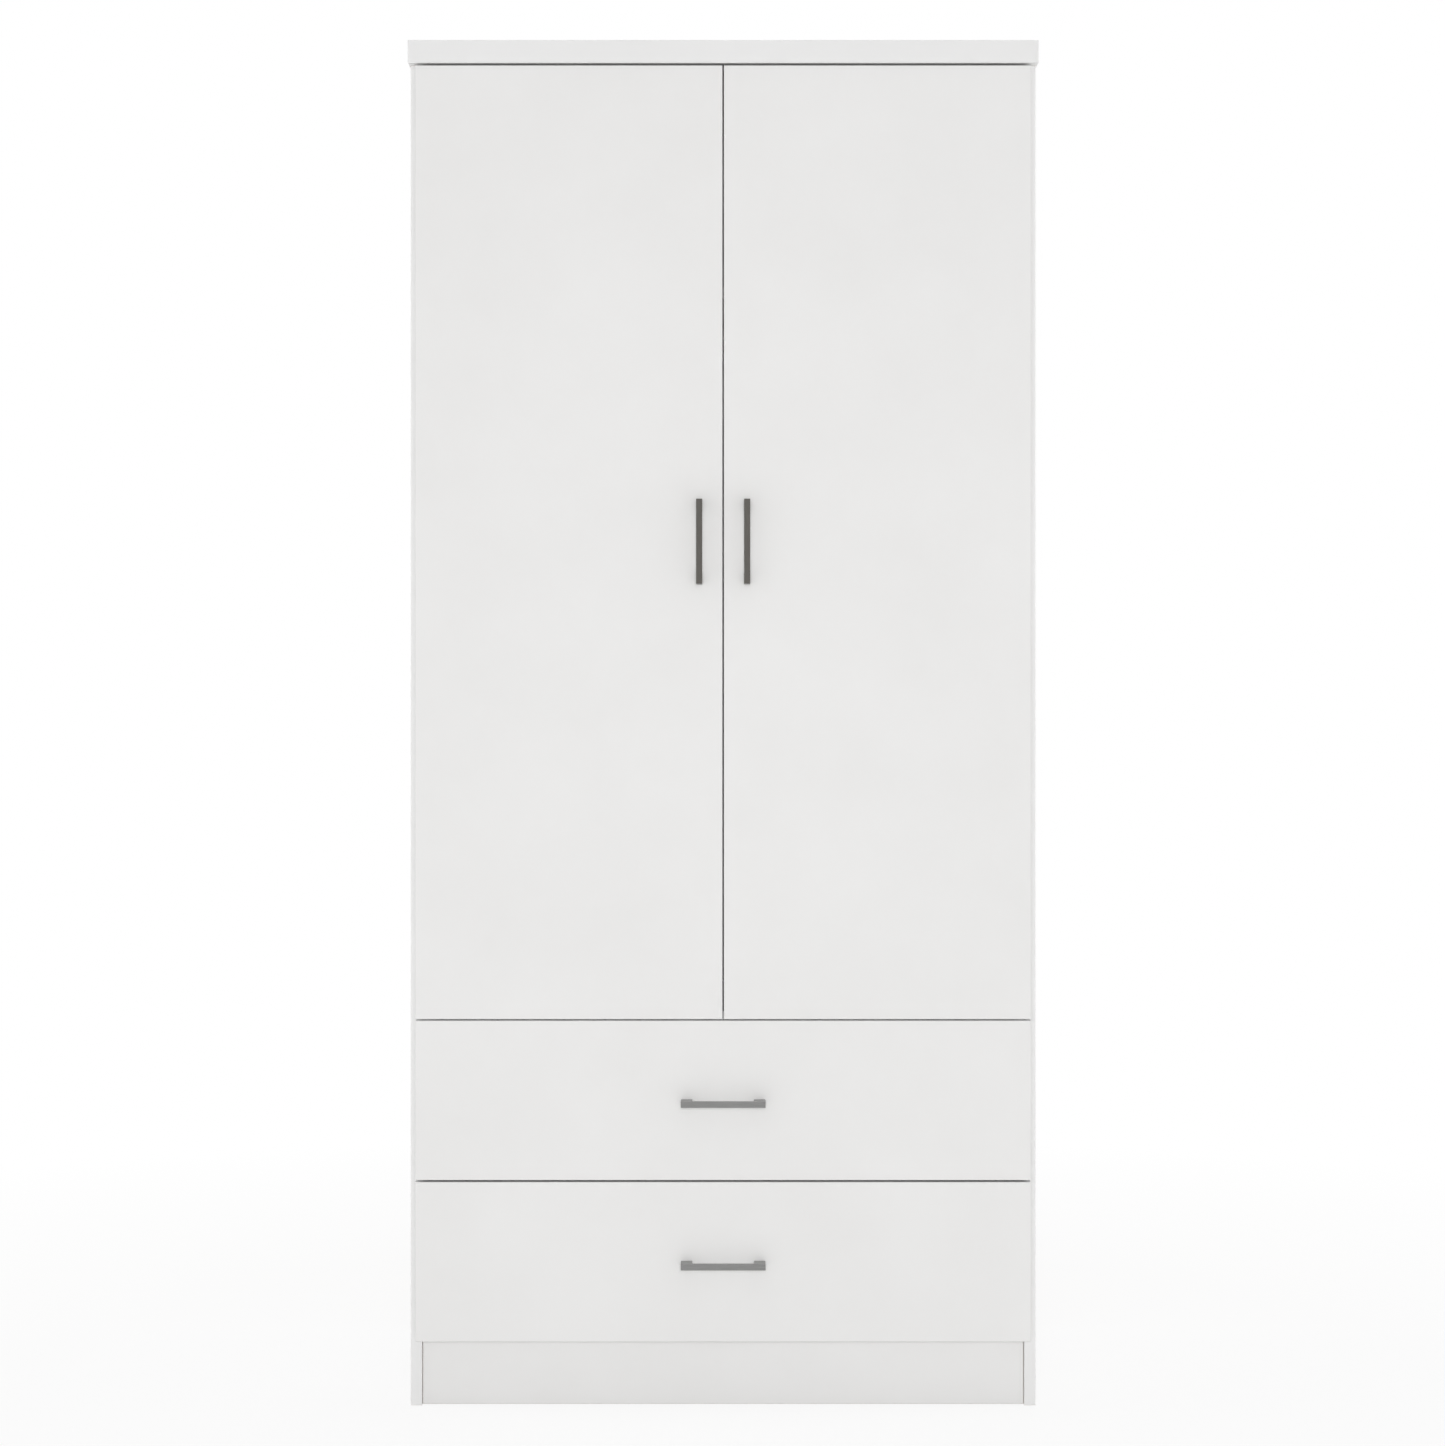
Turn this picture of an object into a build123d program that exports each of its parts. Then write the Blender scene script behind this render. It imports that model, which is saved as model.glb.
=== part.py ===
from build123d import *
import os
from collections import defaultdict

# Wardrobe with two doors over two drawers, in laminated board
# Millimetres, floor at zero, +X to the right seen from the front, +Y to the back, +Z up

# Overall sizes and boards
OVERALL_HEIGHT = 1800.0
TOP_WIDTH = 830.0
TOP_DEPTH = 500.0
TOP_THICKNESS = 30.0
TOP_SIDE_OVERHANG = 2.0  # top past each side panel
TOP_NOSE = 2.0  # top past the faces of the fronts
TOP_TAIL = 2.0  # top past the back sheets
BOARD = 15.0  # carcass boards
FRONT_BOARD = 15.0  # doors and drawer fronts
SHEET = 3.0  # hardboard of the back and the drawer bottoms
EDGE_EASE = 0.8  # rounding of the edges that show

# Fronts and the gaps round them
CLOSED_GAP = 3.0  # back of a closed front to the carcass
FRONT_GAP = 1.8  # between the doors, and between them and the upper drawer
DRAWER_GAP = 2.5  # between the drawer fronts
TOP_GAP = 3.0  # doors under the top
SIDE_REVEAL = 7.5  # side panel edge left bare beside a front
LOWEST_FRONT = 87.5  # floor to the lower drawer front
DRAWER_FRONT_HEIGHT = 210.0

# Fixed boards
BOTTOM_OVERLAP = 18.0  # lower drawer front over the bottom panel and plinth
DECK_OVERLAP = 4.5  # upper drawer front over the deck
PLINTH_RECESS = 8.0
PLINTH_END_ROOM = 0.4  # at each end, between the plinth and the side panel
REAR_RAIL_RECESS = 30.0
SHELF_HEADROOM = 290.0  # hat shelf to the underside of the top
SHELF_SETBACK = 25.0
SHELF_SIDE_ROOM = 0.5
SHELF_REAR_ROOM = 2.0

# Back sheets
SHEET_INSET = 1.0  # side panel edge left bare beside a back sheet
SHEET_ROOM = 0.5
LOWER_SHEET_RISE = 70.0
JOINER_SKIN = 0.9
JOINER_WEB = 1.0
JOINER_WIDTH = 18.0
NAIL_RADIUS = 0.7
NAIL_HEAD_RADIUS = 2.2
NAIL_HEAD = 0.8
NAIL_LENGTH = 16.0
NAIL_EDGE = 3.5  # deck face to the nails of the sheet on that side
NAILS_PER_SIDE = 8
NAILS_PER_HALF = 3

# Hanging rail and wall brackets
RAIL_RADIUS = 12.5
RAIL_WALL = 1.2
RAIL_DROP = 48.0  # hat shelf underside to the rail's middle
RAIL_SETBACK = 240.0
RAIL_END_ROOM = 0.3
SOCKET_PLATE = 3.0
SOCKET_COLLAR = 12.0
SOCKET_WALL = 3.0
SOCKET_WIDTH = 34.0
SOCKET_SCREWS = 46.0  # between the two screws of a socket
BRACKET_SHEET = 2.0
BRACKET_WIDTH = 26.0
BRACKET_FOOT = 32.0
BRACKET_LEG = 40.0
BRACKET_SPACING = 500.0
BRACKET_SCREW_SETBACK = 19.0
WALL_HOLE_RADIUS = 3.0
WALL_HOLE_DROP = 25.0

# Fastenings
FIT = 0.1  # room round a piece that sits in a hole
CAM_RADIUS = 7.0
CAM_SKIN = 3.0  # board left behind a cam
CAM_SETBACK = 34.0
CAM_SLOT = 9.0
CAM_SLOT_WIDTH = 1.6
BOLT_RADIUS = 3.0
BOLT_ROOM = 0.5
THREAD_RADIUS = 2.4
THREAD_LENGTH = 10.0
DOWEL_RADIUS = 4.0
DOWEL_IN_FACE = 10.0
DOWEL_IN_EDGE = 20.0
SCREW_RADIUS = 1.75
SCREW_HEAD_RADIUS = 3.5
SCREW_HEAD = 1.8
SCREW_LENGTH = 13.0
LONG_SCREW = 32.0
BUMPER_RADIUS = 3.2
BUMPER_ROOM = 0.3
DOOR_BUMPER_INSET = 45.0
JOINT_INSET = 55.0  # front or rear edge of a board to its nearest cam
DOWEL_STEP = 45.0  # cam to dowel
PLINTH_CAM_RISE = 28.0
PLINTH_DOWEL_STEP = 32.0
PIN_RADIUS = 2.4
SHELF_PIN_DEPTH = 9.0
SHELF_PIN_REACH = 13.0
SHELF_PIN_WIDTH = 8.0
SHELF_PIN_THICKNESS = 6.0
SHELF_PIN_INSET = 60.0

# Handles
HANDLE_CENTRES = 96.0
HANDLE_FOOT = 15.0
HANDLE_SECTION = 8.0
HANDLE_BAR = 7.0  # bar front to back
HANDLE_REACH = 27.0
HANDLE_INNER_ROUND = 3.0
HANDLE_EASE = 0.6
HANDLE_INSET = 30.5  # door's meeting edge to the middle of its handle
HANDLE_DROP = 2.5  # middle of a drawer front to the middle of its handle
HANDLE_SCREW_RADIUS = 2.0
HANDLE_SCREW_HEAD_RADIUS = 4.0
HANDLE_SCREW_HEAD = 2.2
HANDLE_SCREW_DEPTH = 10.0  # screw in the handle's foot

# Cup hinges, seen from the left door: from the side panel's inner face and its front edge
HINGES_PER_DOOR = 3
HINGE_INSET = 100.0  # door end to the nearest hinge
CUP_RADIUS = 17.5
CUP_DEPTH = 12.0
CUP_WALL = 0.8
CUP_EDGE = 3.0  # door edge to the cup
CUP_FIT = 0.05
FLANGE_SHEET = 1.2
FLANGE_WIDTH = 28.0
FLANGE_HALF = 30.0
PEG_RADIUS = 4.0
PEG_DEPTH = 9.0
PEG_OFFSET = 24.0
PEG_SETBACK = 6.0
HINGE_PIN_RADIUS = 1.25
HINGE_PIN_LENGTH = 16.8
HINGE_PIN_DEPTH = 8.8  # door back to the pin
HINGE_PIN_FROM_CUP = 13.9
RUNNING = 0.05  # radial room of a turning part on its pin
KNUCKLE_RADIUS = 1.9
KNUCKLE_WIDTH = 8.0
LUG_ROOM = 0.4
LUG_RADIUS = 2.4
ARM_SHEET = 1.6
ARM_HEIGHT = 10.2  # side panel to the arm's web
ARM_LENGTH = 60.0
ARM_WIDTH = 14.0
ARM_SHOULDER = 12.0
PLATE_SHEET = 2.0
PLATE_SETBACK = 37.0
PLATE_WIDTH = 20.0
PLATE_HALF = 24.0
PLATE_SCREWS = 32.0
PLATE_RAIL_FRONT = 20.0
PLATE_RAIL_REAR = 55.0

# Drawer runners, measured inwards from a side panel and up from the runner's base
RUNNER_RISE = 30.0  # bottom of a drawer front to the runner's base
RUNNER_LENGTH = 400.0
RUNNER_SETBACK = 4.0
RUNNER_SHEET = 1.2
RUNNER_HEIGHT = 22.0
RUNNER_FLANGE = 9.5
RUNNER_SPACE = 12.5
RUNNER_NOTCH = 26.0  # top flange cut back for the front roller
RUNNER_SCREWS = (38.0, 196.0, 354.0)
ROLLER_RADIUS = 9.0
ROLLER_WIDTH = 5.0
ROLLER_OFFSET = 3.4
ROLLER_ROOM = 0.3
ROLLER_EASE = 0.6
AXLE_RADIUS = 2.0
AXLE_COLLAR = 3.4
FRONT_ROLLER_SETBACK = 15.0
REAR_ROLLER_INSET = 12.0
SLIDE_LIFT = 1.0  # drawer member's running flange over the cabinet member
SLIDE_REACH = 10.7
SLIDE_SEAT = 6.0  # drawer side over the runner's base

# Drawer boxes
DRAWER_SIDE = 12.0
DRAWER_SIDE_HEIGHT = 150.0
DRAWER_DEPTH = 420.0
GROOVE_RISE = 14.0  # drawer side bottom to its groove, over the slide screws
GROOVE_DEPTH = 5.0
DRAWER_CAMS = (45.0, 115.0)
DRAWER_BACK_SCREWS = (45.0, 120.0)
SLIDE_SCREWS = (40.0, 200.0, 330.0)
BOTTOM_SCREW_STEP = 225.0

# Places that follow from the sizes above
SIDE_OUT = TOP_WIDTH / 2 - TOP_SIDE_OVERHANG
SIDE_IN = SIDE_OUT - BOARD
SIDE_MID = SIDE_OUT - BOARD / 2
FRONT_OUT = SIDE_OUT - SIDE_REVEAL
DEPTH = TOP_DEPTH - TOP_NOSE + HANDLE_REACH
FRONT_FACE = HANDLE_REACH - DEPTH / 2
FRONT_REAR = FRONT_FACE + FRONT_BOARD
EDGE_FRONT = FRONT_REAR + CLOSED_GAP
TOP_FRONT = FRONT_FACE - TOP_NOSE
TOP_REAR = TOP_FRONT + TOP_DEPTH
SHEET_OUT = TOP_REAR - TOP_TAIL
SHEET_IN = SHEET_OUT - SHEET
TOP_UNDER = OVERALL_HEIGHT - TOP_THICKNESS
UPPER_FRONT = LOWEST_FRONT + DRAWER_FRONT_HEIGHT + DRAWER_GAP
DOOR_BOTTOM = UPPER_FRONT + DRAWER_FRONT_HEIGHT + FRONT_GAP
DOOR_TOP = TOP_UNDER - TOP_GAP
DOOR_MIDDLE = (DOOR_BOTTOM + DOOR_TOP) / 2
BOTTOM_TOP = LOWEST_FRONT + BOTTOM_OVERLAP
BOTTOM_UNDER = BOTTOM_TOP - BOARD
DECK_UNDER = UPPER_FRONT + DRAWER_FRONT_HEIGHT - DECK_OVERLAP
DECK_TOP = DECK_UNDER + BOARD
SHELF_TOP = TOP_UNDER - SHELF_HEADROOM
SHELF_UNDER = SHELF_TOP - BOARD
RAIL_Y = EDGE_FRONT + RAIL_SETBACK
RAIL_Z = SHELF_UNDER - RAIL_DROP
CUP_CENTRE = CUP_EDGE + CUP_RADIUS - (BOARD - SIDE_REVEAL)
PIN_IN = CUP_CENTRE - HINGE_PIN_FROM_CUP
PIN_FORWARD = CLOSED_GAP + HINGE_PIN_DEPTH
BOX_OUT = SIDE_IN - RUNNER_SPACE
BOX_IN = BOX_OUT - DRAWER_SIDE
BOX_REAR = FRONT_REAR + DRAWER_DEPTH
RUNNER_FRONT = EDGE_FRONT + RUNNER_SETBACK
RUNNER_REAR = RUNNER_FRONT + RUNNER_LENGTH
FRONT_ROLLER_Y = EDGE_FRONT + FRONT_ROLLER_SETBACK
REAR_ROLLER_Y = RUNNER_REAR - REAR_ROLLER_INSET
SLIDE_UNDER = RUNNER_HEIGHT + SLIDE_LIFT
FRONT_ROLLER_RISE = SLIDE_UNDER - ROLLER_ROOM - ROLLER_RADIUS
REAR_ROLLER_RISE = RUNNER_SHEET + ROLLER_ROOM + ROLLER_RADIUS

X = Vector(1, 0, 0)
Y = Vector(0, 1, 0)
Z = Vector(0, 0, 1)

boards = {}  # node name to an uncut board
cuts = defaultdict(list)  # node name to what is cut out of it
solids = defaultdict(list)  # node name to its finished solids


def block(x0, x1, y0, y1, z0, z1):
    """Box between two corners."""
    middle = Pos((x0 + x1) / 2, (y0 + y1) / 2, (z0 + z1) / 2)
    return middle * Box(x1 - x0, y1 - y0, z1 - z0)


def rod(start, way, radius, length):
    """Cylinder from a point along a direction."""
    seat = Plane(origin=start, z_dir=way).location
    return seat * Cylinder(radius, length, align=(Align.CENTER, Align.CENTER, Align.MIN))


def flip(shape):
    """The same shape on the other side of the middle plane."""
    return mirror(shape, about=Plane.YZ)


def ease_front(board, axis):
    """Round the front edges of a board along one axis."""
    edges = board.edges().filter_by(axis).sort_by(Axis.Y)[:2]
    return fillet(edges, EDGE_EASE)


def cam_joint(holder, partner, point, way, face, thickness, locks, bolts):
    """Bolt in the partner board, drawn in by a cam let into one face of the holder board."""
    middle = point - way * CAM_SETBACK
    mouth = middle + face * (thickness / 2)
    depth = thickness - CAM_SKIN
    cuts[holder].append(rod(mouth + face, -face, CAM_RADIUS + FIT, depth + FIT + 1))
    cuts[holder].append(rod(point, -way, BOLT_RADIUS + BOLT_ROOM, CAM_SETBACK))
    cuts[partner].append(rod(point, way, THREAD_RADIUS + FIT, THREAD_LENGTH + FIT))
    passage = rod(middle, way, BOLT_RADIUS + FIT, CAM_RADIUS + 1)
    slot = Box(CAM_SLOT, CAM_SLOT_WIDTH, 2 * CAM_SLOT_WIDTH)
    cross = Plane(origin=mouth, z_dir=face).location * (slot + Rot(0, 0, 90) * slot)
    solids[locks].append(rod(mouth, -face, CAM_RADIUS, depth) - passage - cross)
    thread = rod(point + way * THREAD_LENGTH, -way, THREAD_RADIUS, THREAD_LENGTH)
    solids[bolts].append(thread + rod(point, -way, BOLT_RADIUS, CAM_SETBACK - FIT))


def dowel_joint(edge_board, face_board, point, way):
    """Dowel from one board's edge into the face of another."""
    cuts[edge_board].append(rod(point, -way, DOWEL_RADIUS + FIT, DOWEL_IN_EDGE + FIT))
    cuts[face_board].append(rod(point, way, DOWEL_RADIUS + FIT, DOWEL_IN_FACE + FIT))
    whole = DOWEL_IN_EDGE + DOWEL_IN_FACE
    solids["dowels"].append(rod(point - way * DOWEL_IN_EDGE, way, DOWEL_RADIUS, whole))


def screw(node, point, way, board):
    """Flat-headed screw: the head stands on a fitting, the shank goes on into a board."""
    cuts[board].append(rod(point, way, SCREW_RADIUS + FIT, SCREW_LENGTH + FIT))
    head = rod(point, -way, SCREW_HEAD_RADIUS, SCREW_HEAD)
    solids[node].append(head + rod(point, way, SCREW_RADIUS, SCREW_LENGTH))


def screw_hole(point, way):
    """Hole for a screw in the fitting it holds."""
    return rod(point - way, way, SCREW_RADIUS + FIT, SCREW_LENGTH + 2)


def sunk_screw(node, point, way, outer, inner):
    """Long screw through one board into the edge of the next, its head let in flush."""
    cuts[outer].append(rod(point - way, way, SCREW_HEAD_RADIUS + FIT, SCREW_HEAD + FIT + 1))
    for board in (outer, inner):
        cuts[board].append(rod(point, way, SCREW_RADIUS + FIT, LONG_SCREW + FIT))
    head = rod(point + way * FIT, way, SCREW_HEAD_RADIUS, SCREW_HEAD)
    solids[node].append(head + rod(point + way * FIT, way, SCREW_RADIUS, LONG_SCREW - FIT))


def nail(x, z, sheet, board):
    """Nail through a back sheet into the rear edge of a board."""
    point = Vector(x, SHEET_OUT, z)
    for name in (sheet, board):
        cuts[name].append(rod(point, -Y, NAIL_RADIUS + FIT / 2, NAIL_LENGTH + FIT))
    shank = rod(point, -Y, NAIL_RADIUS, NAIL_LENGTH)
    solids["back_nails"].append(shank + rod(point, Y, NAIL_HEAD_RADIUS, NAIL_HEAD))


def carcass_boards():
    """Side panels, top, deck, bottom panel, plinth boards and hat shelf, not yet drilled."""
    side = block(SIDE_IN, SIDE_OUT, EDGE_FRONT, SHEET_IN, 0, TOP_UNDER)
    side = ease_front(side, Axis.Z)
    boards["right_side_panel"] = side
    boards["left_side_panel"] = flip(side)
    half = TOP_WIDTH / 2
    top = block(-half, half, TOP_FRONT, TOP_REAR, TOP_UNDER, OVERALL_HEIGHT)
    boards["top_panel"] = fillet(top.edges(), EDGE_EASE)
    deck = block(-SIDE_IN, SIDE_IN, EDGE_FRONT, SHEET_IN, DECK_UNDER, DECK_TOP)
    boards["middle_deck"] = ease_front(deck, Axis.X)
    bottom = block(-SIDE_IN, SIDE_IN, EDGE_FRONT, SHEET_IN, BOTTOM_UNDER, BOTTOM_TOP)
    boards["bottom_panel"] = ease_front(bottom, Axis.X)
    plinth_face = EDGE_FRONT + PLINTH_RECESS
    plinth_half = SIDE_IN - PLINTH_END_ROOM
    boards["plinth"] = block(-plinth_half, plinth_half, plinth_face, plinth_face + BOARD, 0, BOTTOM_UNDER)
    rail_back = SHEET_IN - REAR_RAIL_RECESS
    boards["rear_plinth_rail"] = block(-SIDE_IN, SIDE_IN, rail_back - BOARD, rail_back, 0, BOTTOM_UNDER)
    shelf_half = SIDE_IN - SHELF_SIDE_ROOM
    shelf_front = EDGE_FRONT + SHELF_SETBACK
    shelf_rear = SHEET_IN - SHELF_REAR_ROOM
    shelf = block(-shelf_half, shelf_half, shelf_front, shelf_rear, SHELF_UNDER, SHELF_TOP)
    boards["hat_shelf"] = ease_front(shelf, Axis.X)


def carcass_joints():
    """Cams, bolts and dowels that hold the carcass boards together."""
    fittings = ("cam_locks", "cam_bolts")
    front = EDGE_FRONT + JOINT_INSET
    rear = SHEET_IN - JOINT_INSET
    for side, sign in (("left_side_panel", -1), ("right_side_panel", 1)):
        for y, step in ((front, DOWEL_STEP), (rear, -DOWEL_STEP)):
            head = Vector(sign * SIDE_MID, y, TOP_UNDER)
            cam_joint(side, "top_panel", head, Z, -sign * X, BOARD, *fittings)
            dowel_joint(side, "top_panel", head + Y * step, Z)
            for name, under in (("middle_deck", DECK_UNDER), ("bottom_panel", BOTTOM_UNDER)):
                end = Vector(sign * SIDE_IN, y, under + BOARD / 2)
                cam_joint(name, side, end, sign * X, -Z, BOARD, *fittings)
                dowel_joint(name, side, end + Y * step, sign * X)
        plinth_y = EDGE_FRONT + PLINTH_RECESS + BOARD / 2
        rail_y = SHEET_IN - REAR_RAIL_RECESS - BOARD / 2
        for name, y, face in (("plinth", plinth_y, Y), ("rear_plinth_rail", rail_y, -Y)):
            end = Vector(sign * SIDE_IN, y, PLINTH_CAM_RISE)
            cam_joint(name, side, end, sign * X, face, BOARD, *fittings)
            dowel_joint(name, side, end + Z * PLINTH_DOWEL_STEP, sign * X)


def back_sheets():
    """Hardboard back in three sheets, the joiner between the upper two, and the nails."""
    split = DECK_UNDER + BOARD / 2
    outer = SIDE_OUT - SHEET_INSET
    inner = JOINER_WEB / 2 + FIT
    head = TOP_UNDER - SHEET_ROOM
    right = block(inner, outer, SHEET_IN, SHEET_OUT, split + SHEET_ROOM / 2, head)
    boards["upper_back_right"] = right
    boards["upper_back_left"] = flip(right)
    foot = split - SHEET_ROOM / 2
    boards["lower_back"] = block(-outer, outer, SHEET_IN, SHEET_OUT, LOWER_SHEET_RISE, foot)
    low = DECK_TOP + SHEET_ROOM
    half = JOINER_WIDTH / 2
    web = block(-JOINER_WEB / 2, JOINER_WEB / 2, SHEET_IN, SHEET_OUT, low, head)
    rear_skin = block(-half, half, SHEET_OUT, SHEET_OUT + JOINER_SKIN, low, head)
    front_skin = block(-half, half, SHEET_IN - JOINER_SKIN, SHEET_IN, low, head)
    solids["back_joiner"].append(web + rear_skin + front_skin)
    deck_upper = DECK_TOP - NAIL_EDGE
    deck_lower = DECK_UNDER + NAIL_EDGE
    bottom_mid = BOTTOM_UNDER + BOARD / 2
    for side, sign in (("left", -1), ("right", 1)):
        panel = side + "_side_panel"
        upper = "upper_back_" + side
        rise = (head - DECK_TOP) / NAILS_PER_SIDE
        for i in range(NAILS_PER_SIDE):
            nail(sign * SIDE_MID, DECK_TOP + rise * (i + 0.5), upper, panel)
        lower_rise = (DECK_UNDER - BOTTOM_TOP) / 2
        for i in range(2):
            nail(sign * SIDE_MID, BOTTOM_TOP + lower_rise * (i + 0.5), "lower_back", panel)
        for i in range(NAILS_PER_HALF):
            x = sign * SIDE_IN * (i + 0.5) / NAILS_PER_HALF
            nail(x, deck_upper, upper, "middle_deck")
            nail(x, deck_lower, "lower_back", "middle_deck")
            nail(x, bottom_mid, "lower_back", "bottom_panel")


def shelf_pins():
    """Four pins in the side panels with the hat shelf resting on them."""
    front = EDGE_FRONT + SHELF_SETBACK + SHELF_PIN_INSET
    rear = SHEET_IN - SHELF_REAR_ROOM - SHELF_PIN_INSET
    z = SHELF_UNDER - SHELF_PIN_THICKNESS / 2
    half = SHELF_PIN_WIDTH / 2
    for panel, sign in (("left_side_panel", -1), ("right_side_panel", 1)):
        for y in (front, rear):
            start = Vector(sign * SIDE_IN, y, z)
            cuts[panel].append(rod(start, sign * X, PIN_RADIUS + FIT, SHELF_PIN_DEPTH + FIT))
            ends = sorted((sign * SIDE_IN, sign * (SIDE_IN - SHELF_PIN_REACH)))
            rest = block(*ends, y - half, y + half, SHELF_UNDER - SHELF_PIN_THICKNESS, SHELF_UNDER)
            solids["shelf_pins"].append(rest + rod(start, sign * X, PIN_RADIUS, SHELF_PIN_DEPTH))


def hanging_rail():
    """Steel tube in two screwed sockets."""
    half = SIDE_IN - SOCKET_PLATE - RAIL_END_ROOM
    start = Vector(-half, RAIL_Y, RAIL_Z)
    bore = rod(start - X, X, RAIL_RADIUS - RAIL_WALL, 2 * half + 2)
    solids["hanging_rail"].append(rod(start, X, RAIL_RADIUS, 2 * half) - bore)
    width = SOCKET_WIDTH / 2
    height = SOCKET_SCREWS / 2 + width / 2
    seat_x = SIDE_IN - SOCKET_PLATE
    plate = block(seat_x, SIDE_IN, RAIL_Y - width, RAIL_Y + width, RAIL_Z - height, RAIL_Z + height)
    plate = fillet(plate.edges().filter_by(Axis.X), width / 2)
    seat = Vector(seat_x, RAIL_Y, RAIL_Z)
    collar = rod(seat, -X, RAIL_RADIUS + FIT + SOCKET_WALL, SOCKET_COLLAR)
    collar = collar - rod(seat, -X, RAIL_RADIUS + FIT, SOCKET_COLLAR)
    socket = plate + collar
    for rise in (-SOCKET_SCREWS / 2, SOCKET_SCREWS / 2):
        point = seat + Z * rise
        socket = socket - screw_hole(point, X)
        screw("carcass_screws", point, X, "right_side_panel")
        mirrored_point = Vector(-point.X, point.Y, point.Z)
        screw("carcass_screws", mirrored_point, -X, "left_side_panel")
    solids["rail_sockets"] += [flip(socket), socket]


def wall_brackets():
    """Two angle brackets under the top with a hole through the back for a wall screw."""
    half = BRACKET_WIDTH / 2
    foot_under = TOP_UNDER - BRACKET_SHEET
    leg_under = TOP_UNDER - BRACKET_LEG
    for side, sign in (("left", -1), ("right", 1)):
        x = sign * BRACKET_SPACING / 2
        foot = block(x - half, x + half, SHEET_IN - BRACKET_FOOT, SHEET_IN, foot_under, TOP_UNDER)
        leg = block(x - half, x + half, SHEET_IN - BRACKET_SHEET, SHEET_IN, leg_under, TOP_UNDER)
        hole = Vector(x, SHEET_IN - 2 * BRACKET_SHEET, TOP_UNDER - WALL_HOLE_DROP)
        drill = rod(hole, Y, WALL_HOLE_RADIUS, SHEET + 4 * BRACKET_SHEET)
        cuts["upper_back_" + side].append(drill)
        point = Vector(x, SHEET_IN - BRACKET_SCREW_SETBACK, foot_under)
        screw("carcass_screws", point, Z, "top_panel")
        solids["wall_brackets"].append(foot + leg - drill - screw_hole(point, Z))


def bumpers():
    """Soft pads that a closed front comes to rest on."""
    pad = CLOSED_GAP - BUMPER_ROOM
    door_z = (DOOR_BOTTOM + DECK_TOP) / 2
    drawer_x = (SIDE_IN + FRONT_OUT) / 2
    for sign in (-1, 1):
        places = [(DOOR_BUMPER_INSET, door_z)]
        for bottom in (LOWEST_FRONT, UPPER_FRONT):
            places.append((drawer_x, bottom + DRAWER_FRONT_HEIGHT / 2))
        for x, z in places:
            solids["bumpers"].append(rod(Vector(sign * x, EDGE_FRONT, z), -Y, BUMPER_RADIUS, pad))


def by_left(u0, u1, v0, v1, z0, z1):
    """Box placed by its distance in from the left side panel and forward of its front edge."""
    return block(u0 - SIDE_IN, u1 - SIDE_IN, EDGE_FRONT - v1, EDGE_FRONT - v0, z0, z1)


def left_point(u, v, z):
    """Point placed by its distance in from the left side panel and forward of its front edge."""
    return Vector(u - SIDE_IN, EDGE_FRONT - v, z)


def hinge_cup(z):
    """Cup with its flange, two pegs and two lugs that hold the pin."""
    mouth = left_point(CUP_CENTRE, CLOSED_GAP, z)
    outside = rod(mouth, -Y, CUP_RADIUS - CUP_FIT, CUP_DEPTH - CUP_FIT)
    u0 = CUP_CENTRE - CUP_RADIUS
    skin = CLOSED_GAP - FLANGE_SHEET
    flange = by_left(u0, u0 + FLANGE_WIDTH, skin, CLOSED_GAP, z - FLANGE_HALF, z + FLANGE_HALF)
    flange = fillet(flange.edges().filter_by(Axis.Y), FLANGE_WIDTH / 4)
    rim = rod(mouth, Y, CUP_RADIUS, FLANGE_SHEET)
    cup = outside + flange + rim
    above = FLANGE_SHEET + 1
    bore_radius = CUP_RADIUS - CUP_FIT - CUP_WALL
    cup = cup - rod(mouth + Y * above, -Y, bore_radius, CUP_DEPTH - CUP_FIT - CUP_WALL + above)
    lug_floor = CLOSED_GAP + CUP_DEPTH - CUP_FIT
    for sign in (-1, 1):
        peg = left_point(CUP_CENTRE + PEG_SETBACK, CLOSED_GAP, z + sign * PEG_OFFSET)
        cup = cup + rod(peg, -Y, PEG_RADIUS, PEG_DEPTH)
        ends = sorted((z + sign * (KNUCKLE_WIDTH / 2 + LUG_ROOM), z + sign * CUP_RADIUS))
        lug = by_left(u0, PIN_IN + LUG_RADIUS, PIN_FORWARD - LUG_RADIUS, lug_floor, *ends)
        cup = cup + (lug & outside)
    pin = left_point(PIN_IN, PIN_FORWARD, z - HINGE_PIN_LENGTH / 2)
    return cup - rod(pin, Z, HINGE_PIN_RADIUS + CUP_FIT / 2, HINGE_PIN_LENGTH)


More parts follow.
